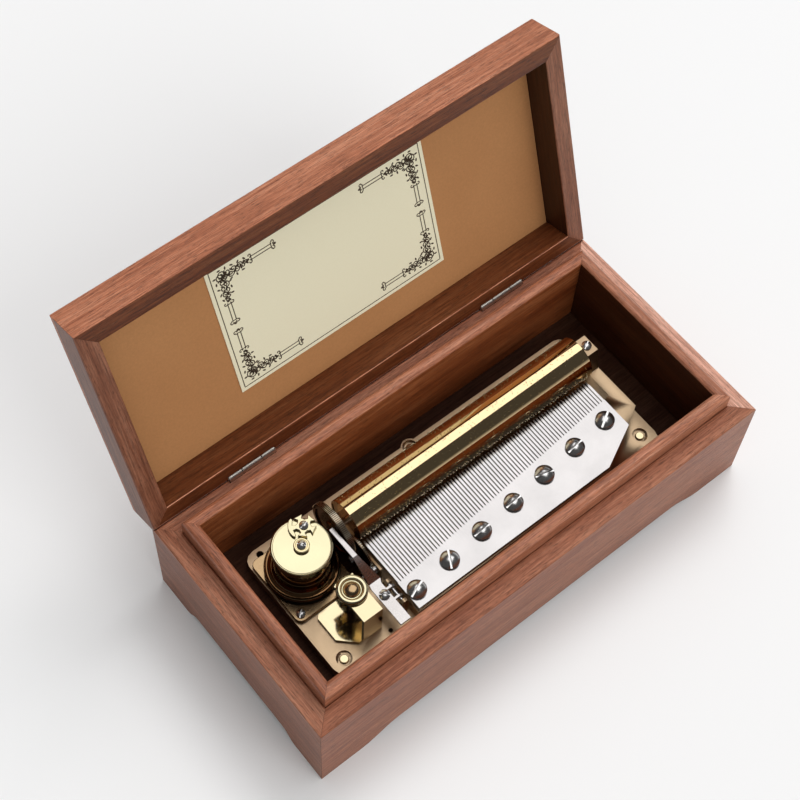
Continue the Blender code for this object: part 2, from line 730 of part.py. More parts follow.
def build_lid():
    """Four mitred lid rails, the top panel, its lining and the tune card."""
    rail_top = LID_TOP - LID_PANEL - GLUE_GAP
    rail = [(0, LID_RIM), (WALL, LID_RIM), (WALL, rail_top), (0, rail_top)]
    for side in SIDES:
        piece = add_piece("lid_rail_" + side, mitred_strip(side, rail, HALF_LENGTH, HALF_DEPTH),
                          "case_wood", "lid")
        if side != "front":
            edge = bevel_outline(HALF_DEPTH, LID_RIM, -1.0)
            cut(piece, prism(edge, -BOX_LENGTH, BOX_LENGTH, "X"), "lid", label="edge")
        if side == "back":
            cut_hinge_seats(piece, "lid", 1.0)
    add_piece("lid_top_panel", block((-HALF_LENGTH, -HALF_DEPTH, LID_TOP - LID_PANEL),
                                     (HALF_LENGTH, HALF_DEPTH, LID_TOP)), "case_wood", "lid")
    long_in = HALF_LENGTH - WALL - SEAT_GAP
    short_in = HALF_DEPTH - WALL - SEAT_GAP
    liner_low = rail_top - LID_LINER
    add_piece("lid_lining", block((-long_in, -short_in, liner_low), (long_in, short_in, rail_top)),
              "liner_paper", "lid")
    card_top = liner_low - GLUE_GAP
    add_piece("tune_card", block((CARD_LEFT, CARD_BACK - CARD_DEPTH, card_top - CARD_THICK),
                                 (CARD_LEFT + CARD_WIDTH, CARD_BACK, card_top)), "card", "lid")


# Hinges

def leaf_outline(side, thick, depth, start):
    """Section of a leaf that runs at 45 degrees into the wood, in (y, z).

    The side is -1 for the leaf in the case, which runs down, and 1 for the lid's.
    """
    along = Vector((-1.0, side)).normalized()
    across = Vector((-along.y, along.x))
    base = Vector((HINGE_Y, HINGE_Z))
    corners = ((start, -0.5), (depth, -0.5), (depth, 0.5), (start, 0.5))
    return [tuple(base + along * reach + across * (share * thick)) for reach, share in corners]


def cut_hinge_seats(piece, body, side):
    """Kerfs for the leaves and round reliefs for the knuckles."""
    for index, sign in enumerate((-1.0, 1.0)):
        middle = sign * HINGE_CENTRE
        low = middle - HINGE_LENGTH / 2 - SEAT_GAP
        high = middle + HINGE_LENGTH / 2 + SEAT_GAP
        kerf = prism(leaf_outline(side, LEAF_THICK + 2 * KERF_GAP, LEAF_DEPTH + KERF_GAP, 0.0),
                     low, high, "X")
        cut(piece, kerf, body, label="kerf_%d" % index)
        relief = rod(KNUCKLE_RADIUS + SEAT_GAP, (HINGE_Y, HINGE_Z), low, high, "X")
        cut(piece, relief, body, label="relief_%d" % index)


def hinge_leaf(name, body, side, spans):
    """A leaf with its knuckles round the pin; spans are along X."""
    low = min(span[0] for span in spans)
    high = max(span[1] for span in spans)
    leaf = add_piece(name, prism(leaf_outline(side, LEAF_THICK, LEAF_DEPTH,
                                              KNUCKLE_RADIUS + SEAT_GAP), low, high, "X"),
                     "hinge_brass", body)
    for index, (start, end) in enumerate(spans):
        knuckle = rod(KNUCKLE_RADIUS, (HINGE_Y, HINGE_Z), start, end, "X")
        unite(leaf, knuckle, body, "knuckle_%d" % index)
        neck = prism(leaf_outline(side, LEAF_THICK, KNUCKLE_RADIUS + NECK_LAP, HINGE_PIN_RADIUS),
                     start, end, "X")
        unite(leaf, neck, body, "neck_%d" % index)
    if body == "lid":
        bore = rod(HINGE_PIN_RADIUS + RUN_GAP, (HINGE_Y, HINGE_Z), low - MM, high + MM, "X")
        cut(leaf, bore, body, label="bore")
    return leaf


def build_hinges():
    """Two three knuckle hinges with their leaves let into saw cuts.

    Each pin is fast in the case leaf's knuckles and the lid leaf turns on it.
    """
    for label, sign in (("left", -1.0), ("right", 1.0)):
        middle = sign * HINGE_CENTRE
        end = HINGE_LENGTH / 2
        inner = HINGE_MIDDLE / 2
        outer_spans = ((middle - end, middle - inner - KNUCKLE_GAP),
                       (middle + inner + KNUCKLE_GAP, middle + end))
        case_leaf = hinge_leaf("hinge_%s_case_leaf" % label, "case", -1.0, outer_spans)
        hinge_leaf("hinge_%s_lid_leaf" % label, "lid", 1.0, ((middle - inner, middle + inner),))
        pin = rod(HINGE_PIN_RADIUS, (HINGE_Y, HINGE_Z), middle - end + GLUE_GAP,
                  middle + end - GLUE_GAP, "X")
        unite(case_leaf, pin, label="pin")


# Bedplate and what stands on it

def comb_root(x):
    """The Y of the line where the teeth leave the comb's body."""
    share = (x - COMB_LEFT) / (COMB_RIGHT - COMB_LEFT)
    return COMB_ROOT_LEFT + (COMB_ROOT_RIGHT - COMB_ROOT_LEFT) * share


def comb_screw_points():
    """The places of the comb's screws."""
    return [(COMB_SCREW_FIRST[0] + i * COMB_SCREW_STEP[0],
             COMB_SCREW_FIRST[1] + i * COMB_SCREW_STEP[1]) for i in range(COMB_SCREW_COUNT)]


def bed_outline():
    """Outline of the bedplate, with a round ear on its back edge for a mounting screw."""
    outline = rounded_rectangle(BED_LEFT, BED_RIGHT, BED_FRONT, BED_BACK, BED_CORNER)
    x, y = MOUNT_POINTS[-1]
    start = math.asin((BED_BACK - y) / MOUNT_EAR)
    span = math.pi - 2 * start
    ear = [(x + MOUNT_EAR * math.cos(start + span * i / MOUNT_EAR_STEPS),
            y + MOUNT_EAR * math.sin(start + span * i / MOUNT_EAR_STEPS))
           for i in range(MOUNT_EAR_STEPS + 1)]
    corner = len(outline) // 4
    return outline[:corner] + ear + outline[corner:]


def build_bedplate():
    """The cast bedplate with its raised comb platform and lever lugs."""
    bed = add_piece("bedplate", prism(bed_outline(), BED_UNDER, BED_TOP), "bed_casting", "case")
    slot_left = BLOCK_LEFT + PLATFORM_SLOT_LEFT
    platform = [(COMB_LEFT - PLATFORM_EDGE, COMB_FRONT - PLATFORM_EDGE),
                (COMB_RIGHT - COMB_CHAMFER_X, COMB_FRONT - PLATFORM_EDGE),
                (BLOCK_RIGHT, COMB_FRONT + COMB_CHAMFER_Y + PLATFORM_CORNER),
                (BLOCK_RIGHT, BLOCK_BACK + PLATFORM_BEHIND),
                (slot_left, BLOCK_BACK + PLATFORM_BEHIND),
                (slot_left, COMB_ROOT_RIGHT + PLATFORM_SLOT_FRONT),
                (COMB_RIGHT + PLATFORM_EDGE, COMB_ROOT_RIGHT + PLATFORM_NECK),
                (COMB_LEFT - PLATFORM_EDGE, COMB_ROOT_LEFT)]
    unite(bed, prism(platform, BED_TOP - 2 * MM, PLATFORM_TOP), label="platform")
    for index, (low, high) in enumerate(lever_lug_spans()):
        lug = [(LEVER_AXIS_X - LUG_HALF, BED_TOP - MM), (LEVER_AXIS_X + LUG_HALF, BED_TOP - MM),
               (LEVER_AXIS_X + LUG_HALF, LEVER_AXIS_Z)]
        for i in range(1, 8):
            angle = math.pi * i / 8
            lug.append((LEVER_AXIS_X + LUG_HALF * math.cos(angle),
                        LEVER_AXIS_Z + LUG_HALF * math.sin(angle)))
        lug.append((LEVER_AXIS_X - LUG_HALF, LEVER_AXIS_Z))
        unite(bed, prism(lug, low, high, "Y"), label="lug_%d" % index)

    train_lug = [(B_Y - BEARING_REACH, BED_TOP - MM), (C_Y + BEARING_REACH, BED_TOP - MM),
                 (C_Y + BEARING_REACH, C_Z + BEARING_REACH),
                 (B_Y - BEARING_REACH, B_Z + BEARING_REACH)]
    lug_right = BEARING_LUG_LEFT + BEARING_LUG_THICK
    unite(bed, prism(train_lug, BEARING_LUG_LEFT, lug_right, "X"), label="train_lug")
    pivots = rod(TRAIN_ARBOR + RUN_GAP, (C_Y, C_Z), BEARING_LUG_LEFT - MM, lug_right + MM, "X",
                 SMALL)
    rod(TRAIN_ARBOR + RUN_GAP, (B_Y, B_Z), BEARING_LUG_LEFT - MM, lug_right + MM, "X", SMALL,
        pivots)
    cut(bed, pivots, label="pivots")

    left, right, front, back = RUN_OPENING
    holes = block((left, front, DRILL_LOW), (right, back, DRILL_TOP))
    for point in MOUNT_POINTS:
        rod(MOUNT_SCREW + SCREW_GAP, point, 0, BED_TOP - MOUNT_RECESS_DEPTH, segments=SMALL,
            into=holes)
    rod(SPARE_HOLE, SPARE_HOLE_POINT, DRILL_LOW, DRILL_TOP, segments=SMALL, into=holes)
    rod(OIL_HOLE, OIL_HOLE_POINT, DRILL_LOW, DRILL_TOP, segments=SMALL, into=holes)
    rod(WINDING_RADIUS + RUN_GAP, (BARREL_X, BARREL_Y), DRILL_LOW, DRILL_TOP, into=holes)
    for point in comb_screw_points():
        rod(COMB_SCREW_SHANK + SCREW_GAP, point, BED_TOP, DRILL_TOP, segments=SMALL, into=holes)
    rod(SMALL_SHANK + SCREW_GAP, plate_screw_point(), BED_UNDER + MM, DRILL_TOP, segments=SMALL,
        into=holes)
    cut(bed, holes, label="holes")
    recesses = bmesh.new()
    for point in MOUNT_POINTS:
        rod(MOUNT_RECESS, point, BED_TOP - MOUNT_RECESS_DEPTH, DRILL_TOP, into=recesses)
    rod(RATCHET_POCKET, (BARREL_X, BARREL_Y), 0, BED_UNDER + RATCHET_POCKET_HIGH, segments=ROUND,
        into=recesses)
    cut(bed, recesses, label="recesses")
    pin_hole = rod(PIVOT_RADIUS + RUN_GAP, (LEVER_AXIS_X, LEVER_AXIS_Z), PIVOT_FRONT - MM,
                   PIVOT_BACK + MM, "Y")
    cut(bed, pin_hole, label="pin_hole")

    for index, point in enumerate(MOUNT_POINTS):
        screw = slotted_screw(point, FLOOR_UNDER - SEAT_GAP, MOUNT_HEAD, MOUNT_HEAD_HIGH,
                              MOUNT_SCREW, BED_TOP - MOUNT_TIP_BELOW, axis_up=-1.0)
        add_piece("movement_screw_%d" % (index + 1), screw, "screw_steel", "case")


def lever_lug_spans():
    """The two lugs of the bedplate that hold the lever's pivot, along Y."""
    return ((PIVOT_FRONT, PIVOT_FRONT + LUG_THICK), (PIVOT_BACK - LUG_THICK, PIVOT_BACK))


def plate_screw_point():
    """The front left corner of the barrel's plate, which holds its screw."""
    return (PLATE_LEFT + PLATE_SCREW_INSET, PLATE_FRONT + PLATE_SCREW_INSET)


def build_comb():
    """The steel comb with its row of tuned teeth, its weights and its screws."""
    outline = [(COMB_LEFT, COMB_FRONT), (COMB_RIGHT - COMB_CHAMFER_X, COMB_FRONT),
               (COMB_RIGHT, COMB_FRONT + COMB_CHAMFER_Y)]
    gap = TOOTH_PITCH - TOOTH_WIDTH
    outline.append((COMB_RIGHT, COMB_ROOT_RIGHT))
    for i in reversed(range(TOOTH_COUNT)):
        middle = COMB_LEFT + (i + 0.5) * TOOTH_PITCH
        right = middle + TOOTH_WIDTH / 2
        left = middle - TOOTH_WIDTH / 2
        outline += [(right, comb_root(right)), (right, COMB_TIPS),
                    (left, COMB_TIPS), (left, comb_root(left))]
    outline.append((COMB_LEFT, comb_root(COMB_LEFT + gap / 2)))
    comb = add_piece("comb", prism(outline, COMB_UNDER, COMB_TOP), "comb_steel", "case")
    holes = bmesh.new()
    for point in comb_screw_points():
        rod(COMB_SCREW_SHANK + SCREW_GAP, point, DRILL_LOW, DRILL_TOP, segments=SMALL, into=holes)
    cut(comb, holes, label="holes")
    weights = bmesh.new()
    for i in range(WEIGHT_COUNT):
        middle = COMB_LEFT + (i + 0.5) * TOOTH_PITCH
        long = WEIGHT_LONG + (WEIGHT_SHORT - WEIGHT_LONG) * i / (WEIGHT_COUNT - 1)
        half = TOOTH_WIDTH / 2 - WEIGHT_INSET
        block((middle - half, COMB_TIPS - WEIGHT_INSET - long, COMB_UNDER - WEIGHT_HIGH),
              (middle + half, COMB_TIPS - WEIGHT_INSET, COMB_UNDER + COMB_THICK / 2), weights)
    unite(comb, weights, label="weights")

    for index, point in enumerate(comb_screw_points()):
        screw = slotted_screw(point, COMB_TOP + SEAT_GAP, COMB_SCREW_HEAD, COMB_SCREW_HIGH,
                              COMB_SCREW_SHANK, BED_TOP + SEAT_GAP,
                              math.radians(COMB_SLOT_DEGREES[index]))
        add_piece("comb_screw_%d" % (index + 1), screw, "screw_steel", "case")


# Cylinder and gear train

def build_cylinder():
    """The pinned cylinder with its ends, arbor, great gear and drive pinion."""
    centre = (AXIS_Y, AXIS_Z)
    bore = CYL_RADIUS - CYL_WALL
    left_in = CYL_LEFT + CYL_END_INSET
    left_out = left_in + CYL_END
    right_in = CYL_RIGHT - CYL_END_INSET
    right_out = right_in - CYL_END
    hole = ARBOR_RADIUS + RUN_GAP
    section = [(CYL_RADIUS, CYL_LEFT), (CYL_RADIUS, CYL_RIGHT), (bore, CYL_RIGHT), (bore, right_in),
               (hole, right_in), (hole, right_out), (bore, right_out), (bore, left_out),
               (hole, left_out), (hole, left_in), (bore, left_in), (bore, CYL_LEFT)]
    add_piece("pinned_cylinder", lathe(section, centre, "X", 32), "cylinder_brass", "cylinder",
              smooth=True)
    arbor = add_piece("cylinder_arbor", rod(ARBOR_RADIUS, centre, DRIVE_PINION_LEFT + GLUE_GAP,
                                            ARBOR_RIGHT, "X"), "screw_steel", "cylinder")
    drive = prism(gear_outline(DRIVE_PINION_TEETH, DRIVE_MODULE, centre, math.pi / 2),
                  DRIVE_PINION_LEFT, DRIVE_PINION_LEFT + DRIVE_PINION_WIDTH, "X")
    unite(arbor, drive, "cylinder", "drive_pinion")
    great = add_piece("great_gear", prism(gear_outline(GREAT_TEETH, FINE_MODULE, centre,
                                                       TRAIN_ANGLE_C),
                                          GREAT_LEFT, GREAT_LEFT + GREAT_WIDTH, "X"),
                      "gold", "cylinder")
    cut(great, rod(ARBOR_RADIUS + RUN_GAP, centre, GREAT_LEFT - MM, GREAT_LEFT + 2 * GREAT_WIDTH,
                   "X"), "cylinder", "bore")


def build_train():
    """The two intermediate arbors with their wheels and pinions."""
    centre_c = (C_Y, C_Z)
    centre_b = (B_Y, B_Z)
    great_right = GREAT_LEFT + GREAT_WIDTH
    wheel_right = WHEEL_C_LEFT + WHEEL_C_WIDTH
    arbor_end = BEARING_LUG_LEFT + BEARING_LUG_THICK
    pinion_phase = TRAIN_ANGLE_C + math.pi + math.pi / C_PINION_TEETH
    arbor_c = add_piece("train_arbor_c", rod(TRAIN_ARBOR, centre_c, GREAT_LEFT, arbor_end, "X",
                                             SMALL), "screw_steel", "train_c")
    unite(arbor_c, prism(gear_outline(C_PINION_TEETH, FINE_MODULE, centre_c, pinion_phase),
                         GREAT_LEFT + GLUE_GAP, great_right - GLUE_GAP, "X"), "train_c", "pinion")
    wheel_c = add_piece("train_wheel_c",
                        prism(gear_outline(C_WHEEL_TEETH, TRAIN_MODULE, centre_c,
                                           TRAIN_ANGLE_B), WHEEL_C_LEFT, wheel_right, "X"),
                        "gold", "train_c")
    cut(wheel_c, rod(TRAIN_ARBOR + RUN_GAP, centre_c, WHEEL_C_LEFT - MM, wheel_right + MM, "X",
                     SMALL), "train_c", "bore")

    b_phase = TRAIN_ANGLE_B + math.pi + math.pi / B_PINION_TEETH
    worm_left = FLY_X - WORM_WHEEL_WIDTH / 2
    arbor_b = add_piece("train_arbor_b", rod(TRAIN_ARBOR, centre_b, worm_left - ARBOR_B_STUB,
                                             arbor_end, "X", SMALL), "screw_steel", "train_b")
    unite(arbor_b, prism(gear_outline(B_PINION_TEETH, TRAIN_MODULE, centre_b, b_phase),
                         WHEEL_C_LEFT - PINION_OVER_LEFT, wheel_right + PINION_OVER_RIGHT, "X"),
          "train_b", "pinion")
    worm_phase = math.pi + math.pi / WORM_WHEEL_TEETH
    worm_wheel = add_piece("worm_wheel",
                           prism(gear_outline(WORM_WHEEL_TEETH, WORM_MODULE, centre_b, worm_phase,
                                              *WORM_WHEEL_SHARES),
                                 worm_left, worm_left + WORM_WHEEL_WIDTH, "X"), "gold", "train_b")
    cut(worm_wheel, rod(TRAIN_ARBOR + RUN_GAP, centre_b, worm_left - MM,
                        worm_left + 2 * WORM_WHEEL_WIDTH, "X", SMALL), "train_b", "bore")


def worm_thread(radius_root, radius_tip, lead, start_angle):
    """A helical ridge round the fly's spindle, right handed."""
    shape = bmesh.new()
    steps = int(2 * WORM_HALF / lead * WORM_STEPS)
    foot = WORM_FOOT_SHARE * math.pi * WORM_MODULE
    crest = WORM_CREST_SHARE * math.pi * WORM_MODULE
    rows = []
    for i in range(steps + 1):
        rise = -WORM_HALF + 2 * WORM_HALF * i / steps
        angle = start_angle + math.tau * rise / lead
        outward = Vector((math.cos(angle), math.sin(angle), 0))
        centre = Vector((FLY_X, FLY_AXIS_Y, B_Z + rise))
        rows.append([shape.verts.new(centre + outward * r + Vector((0, 0, dz)))
                     for r, dz in ((radius_root, -foot), (radius_tip, -crest),
                                   (radius_tip, crest), (radius_root, foot))])
    shape.faces.new(rows[0])
    shape.faces.new(reversed(rows[-1]))
    for first, second in zip(rows, rows[1:]):
        for k in range(4):
            n = (k + 1) % 4
            shape.faces.new((first[k], first[n], second[n], second[k]))
    return shape


def build_fly():
    """The governor's upright spindle with its worm and its two wings."""
    centre = (FLY_X, FLY_AXIS_Y)
    root = WORM_RADIUS - WORM_DEEP * WORM_MODULE
    tip = WORM_RADIUS + ADDENDUM * WORM_MODULE
    foot = SPARE_TOP + GOV_BASE_HIGH - SPINDLE_FOOT
    profile = [(0, foot), (FLY_SPINDLE, foot), (FLY_SPINDLE, B_Z - WORM_HALF - MM),
               (root, B_Z - WORM_HALF - MM), (root, B_Z + WORM_HALF + MM),
               (FLY_SPINDLE, B_Z + WORM_HALF + MM), (FLY_SPINDLE, GOV_TOP), (0, GOV_TOP)]
    fly = add_piece("governor_fly", lathe(profile, centre, "Z", FINE), "screw_steel", "fly")
    lead = WORM_STARTS * math.pi * WORM_MODULE
    for index in range(WORM_STARTS):
        start = math.pi / 2 + math.tau * index / WORM_STARTS
        unite(fly, worm_thread(root - WORM_LAP, tip, lead, start), "fly", "thread_%d" % index)
    unite(fly, rod(WING_HUB, centre, WING_LOW, WING_HIGH), "fly", "hub")
    unite(fly, block((FLY_X - WING_SPAN, FLY_AXIS_Y - WING_THICK / 2, WING_LOW),
                     (FLY_X + WING_SPAN, FLY_AXIS_Y + WING_THICK / 2, WING_HIGH)), "fly", "wings")


def build_governor():
    """The governor's frame and its cap."""
    low = SPARE_TOP
    base_top = low + GOV_BASE_HIGH
    chamfer_x, chamfer_y = GOV_CHAMFER
    outline = [(GOV_LEFT + chamfer_x, GOV_FRONT), (GOV_RIGHT, GOV_FRONT), (GOV_RIGHT, GOV_BACK),
               (GOV_LEFT + GOV_BACK_CUT, GOV_BACK), (GOV_LEFT, GOV_BACK - GOV_BACK_CUT),
               (GOV_LEFT, GOV_FRONT + chamfer_y)]
    frame = add_piece("governor_frame", prism(outline, low, base_top), "bed_casting", "case")
    front_wall = block((GOV_TOP_LEFT, GOV_FRONT, low + GOV_SINK),
                       (GOV_RIGHT, GOV_FRONT + GOV_WALL, GOV_TOP))
    unite(frame, front_wall, label="front")
    right_wall = block((GOV_RIGHT - GOV_WALL, GOV_FRONT + GOV_SINK, low + GOV_SINK),
                       (GOV_RIGHT, GOV_FRONT + GOV_SIDE_REACH, GOV_TOP))
    unite(frame, right_wall, label="side")
    top = block((GOV_TOP_LEFT, GOV_FRONT + GOV_SINK, GOV_TOP - GOV_TOP_THICK),
                (GOV_RIGHT, GOV_BACK - GOV_SINK, GOV_TOP))
    unite(frame, top, label="top")
    lug = block((GOV_RIGHT - GOV_WALL, B_Y - BEARING_REACH, low + GOV_SINK),
                (GOV_RIGHT, GOV_BACK, B_Z + BEARING_REACH))
    unite(frame, lug, label="lug")
    holes = rod(TRAIN_ARBOR + RUN_GAP, (B_Y, B_Z), GOV_RIGHT - 2 * MM, GOV_RIGHT + MM, "X", SMALL)
    rod(FLY_SPINDLE + RUN_GAP, (FLY_X, FLY_AXIS_Y), GOV_TOP - 2 * GOV_TOP_THICK, GOV_TOP + MM,
        into=holes)
    rod(FLY_SPINDLE + RUN_GAP, (FLY_X, FLY_AXIS_Y), base_top - SPINDLE_FOOT - RUN_GAP,
        base_top + MM, into=holes)
    cut(frame, holes, label="holes")

    cap_low = GOV_TOP + SEAT_GAP
    profile = [(radius * MM, cap_low + rise * MM) for radius, rise in GOV_CAP]
    add_piece("governor_cap", lathe(profile, (FLY_X, FLY_AXIS_Y), "Z"), "gold", "case",
              smooth=True)


def build_bearings():
    """The bearing bracket and the bearing block of the arbors."""
    low = SPARE_TOP
    right = BRACKET_LEFT + BRACKET_THICK
    arch = [(C_Y - BEARING_REACH, low), (BRACKET_BACK, low), (BRACKET_BACK, AXIS_Z - BRACKET_SHOULDER)]
    for i in range(1, BRACKET_STEPS):
        angle = math.pi * i / BRACKET_STEPS
        arch.append((AXIS_Y + BRACKET_ROUND * math.cos(angle),
                     AXIS_Z + BRACKET_ROUND * math.sin(angle)))
    arch += [(C_Y - BEARING_REACH, C_Z + BEARING_REACH)]
    bracket = add_piece("left_bearing_bracket", prism(arch, BRACKET_LEFT, right, "X"),
                        "bed_casting", "case")
    foot = block((BRACKET_LEFT, BRACKET_BACK - BRACKET_FOOT, low),
                 (BRACKET_LEFT + BRACKET_FOOT, BRACKET_BACK, low + BRACKET_THICK))
    unite(bracket, foot, label="foot")
    holes = rod(ARBOR_RADIUS + RUN_GAP, (AXIS_Y, AXIS_Z), BRACKET_LEFT - MM, right + MM, "X")
    rod(TRAIN_ARBOR + RUN_GAP, (C_Y, C_Z), BRACKET_LEFT - MM, right + MM, "X", SMALL, holes)
    cut(bracket, holes, label="holes")

    seat = PLATFORM_TOP + SEAT_GAP
    side = [(BLOCK_FRONT, seat), (BLOCK_BACK, seat), (BLOCK_BACK, BLOCK_TOP),
            (BLOCK_FRONT + BLOCK_SLOPE, BLOCK_TOP)]
    bearing_block = add_piece("right_bearing_block", prism(side, BLOCK_LEFT, BLOCK_RIGHT, "X"),
                              "bed_casting", "case")
    bores = rod(ARBOR_RADIUS + RUN_GAP, (AXIS_Y, AXIS_Z), BLOCK_LEFT - MM, ARBOR_RIGHT + MM, "X")
    cut(bearing_block, bores, label="bore")
    screw_end = BLOCK_TOP - BLOCK_SCREW_DEEP
    cut(bearing_block, rod(SMALL_SHANK + SCREW_GAP, BLOCK_SCREW_POINT, screw_end - SCREW_GAP,
                           BLOCK_TOP + MM, segments=SMALL), label="screw_hole")
    screw = slotted_screw(BLOCK_SCREW_POINT, BLOCK_TOP + SEAT_GAP, BLOCK_SCREW, SMALL_HEAD_HIGH,
                          SMALL_SHANK, screw_end, BLOCK_SCREW_TURN)
    add_piece("bearing_block_screw", screw, "screw_steel", "case")


# Spring barrel and winding work

def build_barrel():
    """The spring barrel, its cap with the crown gear, its spring and stop cross."""
    centre = (BARREL_X, BARREL_Y)
    hole = WINDING_RADIUS + RUN_GAP
    cap_low = CROWN_ROOT_Z
    drum_top = cap_low - SEAT_GAP
    floor_top = BARREL_FLOOR + BARREL_FLANGE_HIGH
    flare = BARREL_RADIUS + BARREL_FLARE
    profile = [(hole, BARREL_FLOOR), (BARREL_FLANGE_RADIUS, BARREL_FLOOR),
               (BARREL_FLANGE_RADIUS, floor_top), (flare, floor_top),
               (BARREL_RADIUS, floor_top + BARREL_FLARE), (BARREL_RADIUS, drum_top),
               (BARREL_RADIUS - BARREL_WALL, drum_top), (BARREL_RADIUS - BARREL_WALL, floor_top),
               (hole, floor_top)]
    add_piece("spring_barrel", lathe(profile, centre, "Z", 36), "cylinder_brass", "barrel",
              smooth=True)

    cap = [(hole, cap_low), (BARREL_CAP_RADIUS, cap_low),
           (BARREL_CAP_RADIUS, BARREL_CAP_TOP - BARREL_CAP_EDGE),
           (BARREL_CAP_RADIUS - BARREL_CAP_EDGE, BARREL_CAP_TOP), (hole, BARREL_CAP_TOP)]
    lid = add_piece("barrel_cap", lathe(cap, centre, "Z", 36), "gold", "barrel", smooth=True)
    crown_radius = CROWN_INNER + CROWN_WIDTH / 2
    contact = math.asin((AXIS_Y - BARREL_Y) / crown_radius)
    step = math.tau / CROWN_TEETH
    teeth = bmesh.new()
    for i in range(CROWN_TEETH):
        crown_tooth(teeth, centre, contact + (i + 0.5) * step, crown_radius * step)
    unite(lid, teeth, "barrel", "crown")
    cross_hole = rod(SMALL_SHANK + SCREW_GAP, (CROSS_X, CROSS_Y),
                     BARREL_CAP_TOP - CROSS_SCREW_DEEP - SEAT_GAP, DRILL_TOP, segments=SMALL)
    cut(lid, cross_hole, "barrel", "cross_hole")

    add_piece("mainspring", spiral_strip(centre, floor_top), "dark_steel", "barrel")
    build_stop_cross()


def crown_tooth(shape, centre, angle, pitch):
    """One ridge of the crown gear, which hangs under the rim of the barrel's cap."""
    outward = Vector((math.cos(angle), math.sin(angle), 0))
    across = Vector((-outward.y, outward.x, 0))
    root = CROWN_ROOT_Z + SEAT_GAP
    tip = CROWN_PITCH_Z - ADDENDUM * DRIVE_MODULE
    ends = []
    for radius in (CROWN_INNER, CROWN_INNER + CROWN_WIDTH):
        base = Vector((centre[0], centre[1], 0)) + outward * radius
        ends.append([shape.verts.new(base + across * (share * pitch) + Vector((0, 0, z)))
                     for share, z in ((-CROWN_ROOT_SHARE, root), (CROWN_ROOT_SHARE, root),
                                      (SPUR_TIP_SHARE, tip), (-SPUR_TIP_SHARE, tip))])
    shape.faces.new(ends[0])
    shape.faces.new(reversed(ends[1]))
    for k in range(4):
        n = (k + 1) % 4
        shape.faces.new((ends[0][k], ends[1][k], ends[1][n], ends[0][n]))


def spiral_strip(centre, floor_top):
    """The coiled mainspring, from the arbor out to the barrel's wall."""
    steps = SPRING_TURNS * SPRING_STEPS
    inner = WINDING_RADIUS + SPRING_CLEAR_IN
    outer = BARREL_RADIUS - BARREL_WALL - SPRING_THICK - SPRING_CLEAR_OUT
    low = floor_top + SPRING_CLEAR_LOW
    shape = bmesh.new()
    rows = []
    for i in range(steps + 1):
        angle = math.tau * SPRING_TURNS * i / steps
        radius = inner + (outer - inner) * i / steps
        rows.append([shape.verts.new((centre[0] + r * math.cos(angle),
                                      centre[1] + r * math.sin(angle), z))
                     for r, z in ((radius, low), (radius + SPRING_THICK, low),
                                  (radius + SPRING_THICK, low + SPRING_HIGH),
                                  (radius, low + SPRING_HIGH))])
    shape.faces.new(rows[0])
    shape.faces.new(reversed(rows[-1]))
    for first, second in zip(rows, rows[1:]):
        for k in range(4):
            n = (k + 1) % 4
            shape.faces.new((first[k], first[n], second[n], second[k]))
    return shape


def build_stop_cross():
    """The five armed stop cross on the barrel's cap, and its screw."""
    low = BARREL_CAP_TOP + SEAT_GAP
    outline = []
    towards = CROSS_ANGLE + math.pi
    for arm in range(CROSS_ARMS):
        middle = towards + math.tau * arm / CROSS_ARMS
        if arm == CROSS_STOP:
            fan = [(offset, CROSS_STOP_ARM) for offset in CROSS_STOP_FAN]
        else:
            fan = [(offset, CROSS_ARM if offset else CROSS_ARM + CROSS_ARM_DIP)
                   for offset in CROSS_ARM_FAN]
        for offset, radius in fan:
            angle = middle + math.radians(offset)
            outline.append((CROSS_X + radius * math.cos(angle), CROSS_Y + radius * math.sin(angle)))
        notch = middle + math.pi / CROSS_ARMS
        outline.append((CROSS_X + CROSS_HUB * math.cos(notch), CROSS_Y + CROSS_HUB * math.sin(notch)))
    cross = add_piece("stop_cross", prism(outline, low, low + CROSS_HIGH), "gold", "barrel")
    cut(cross, rod(SMALL_SHANK + SCREW_GAP, (CROSS_X, CROSS_Y), low - MM, low + 2 * CROSS_HIGH,
                   segments=SMALL), "barrel", "hole")
    screw = slotted_screw((CROSS_X, CROSS_Y), low + CROSS_HIGH + GLUE_GAP, CROSS_SCREW,
                          SMALL_HEAD_HIGH, SMALL_SHANK, BARREL_CAP_TOP - CROSS_SCREW_DEEP,
                          CROSS_SCREW_TURN)
    add_piece("stop_cross_screw", screw, "screw_steel", "barrel")


def build_barrel_plate():
    """The square plate under the barrel and its screw."""
    low = SPARE_TOP
    outline = rounded_rectangle(PLATE_LEFT, PLATE_RIGHT, PLATE_FRONT, PLATE_BACK, PLATE_CORNER)
    plate = add_piece("barrel_plate", prism(outline, low, low + PLATE_HIGH), "bed_casting", "case")
    holes = rod(WINDING_RADIUS + RUN_GAP, (BARREL_X, BARREL_Y), DRILL_LOW, DRILL_TOP)
    rod(SMALL_SHANK + SCREW_GAP, plate_screw_point(), DRILL_LOW, DRILL_TOP, segments=SMALL, into=holes)
    rod(SPARE_HOLE, SPARE_HOLE_POINT, DRILL_LOW, DRILL_TOP, segments=SMALL, into=holes)
    cut(plate, holes, label="holes")
    screw = slotted_screw(plate_screw_point(), low + PLATE_HIGH + SEAT_GAP, SMALL_HEAD,
                          SMALL_HEAD_HIGH, SMALL_SHANK, low - SMALL_SHANK_LONG, PLATE_SCREW_TURN)
    add_piece("barrel_plate_screw", screw, "screw_steel", "case")


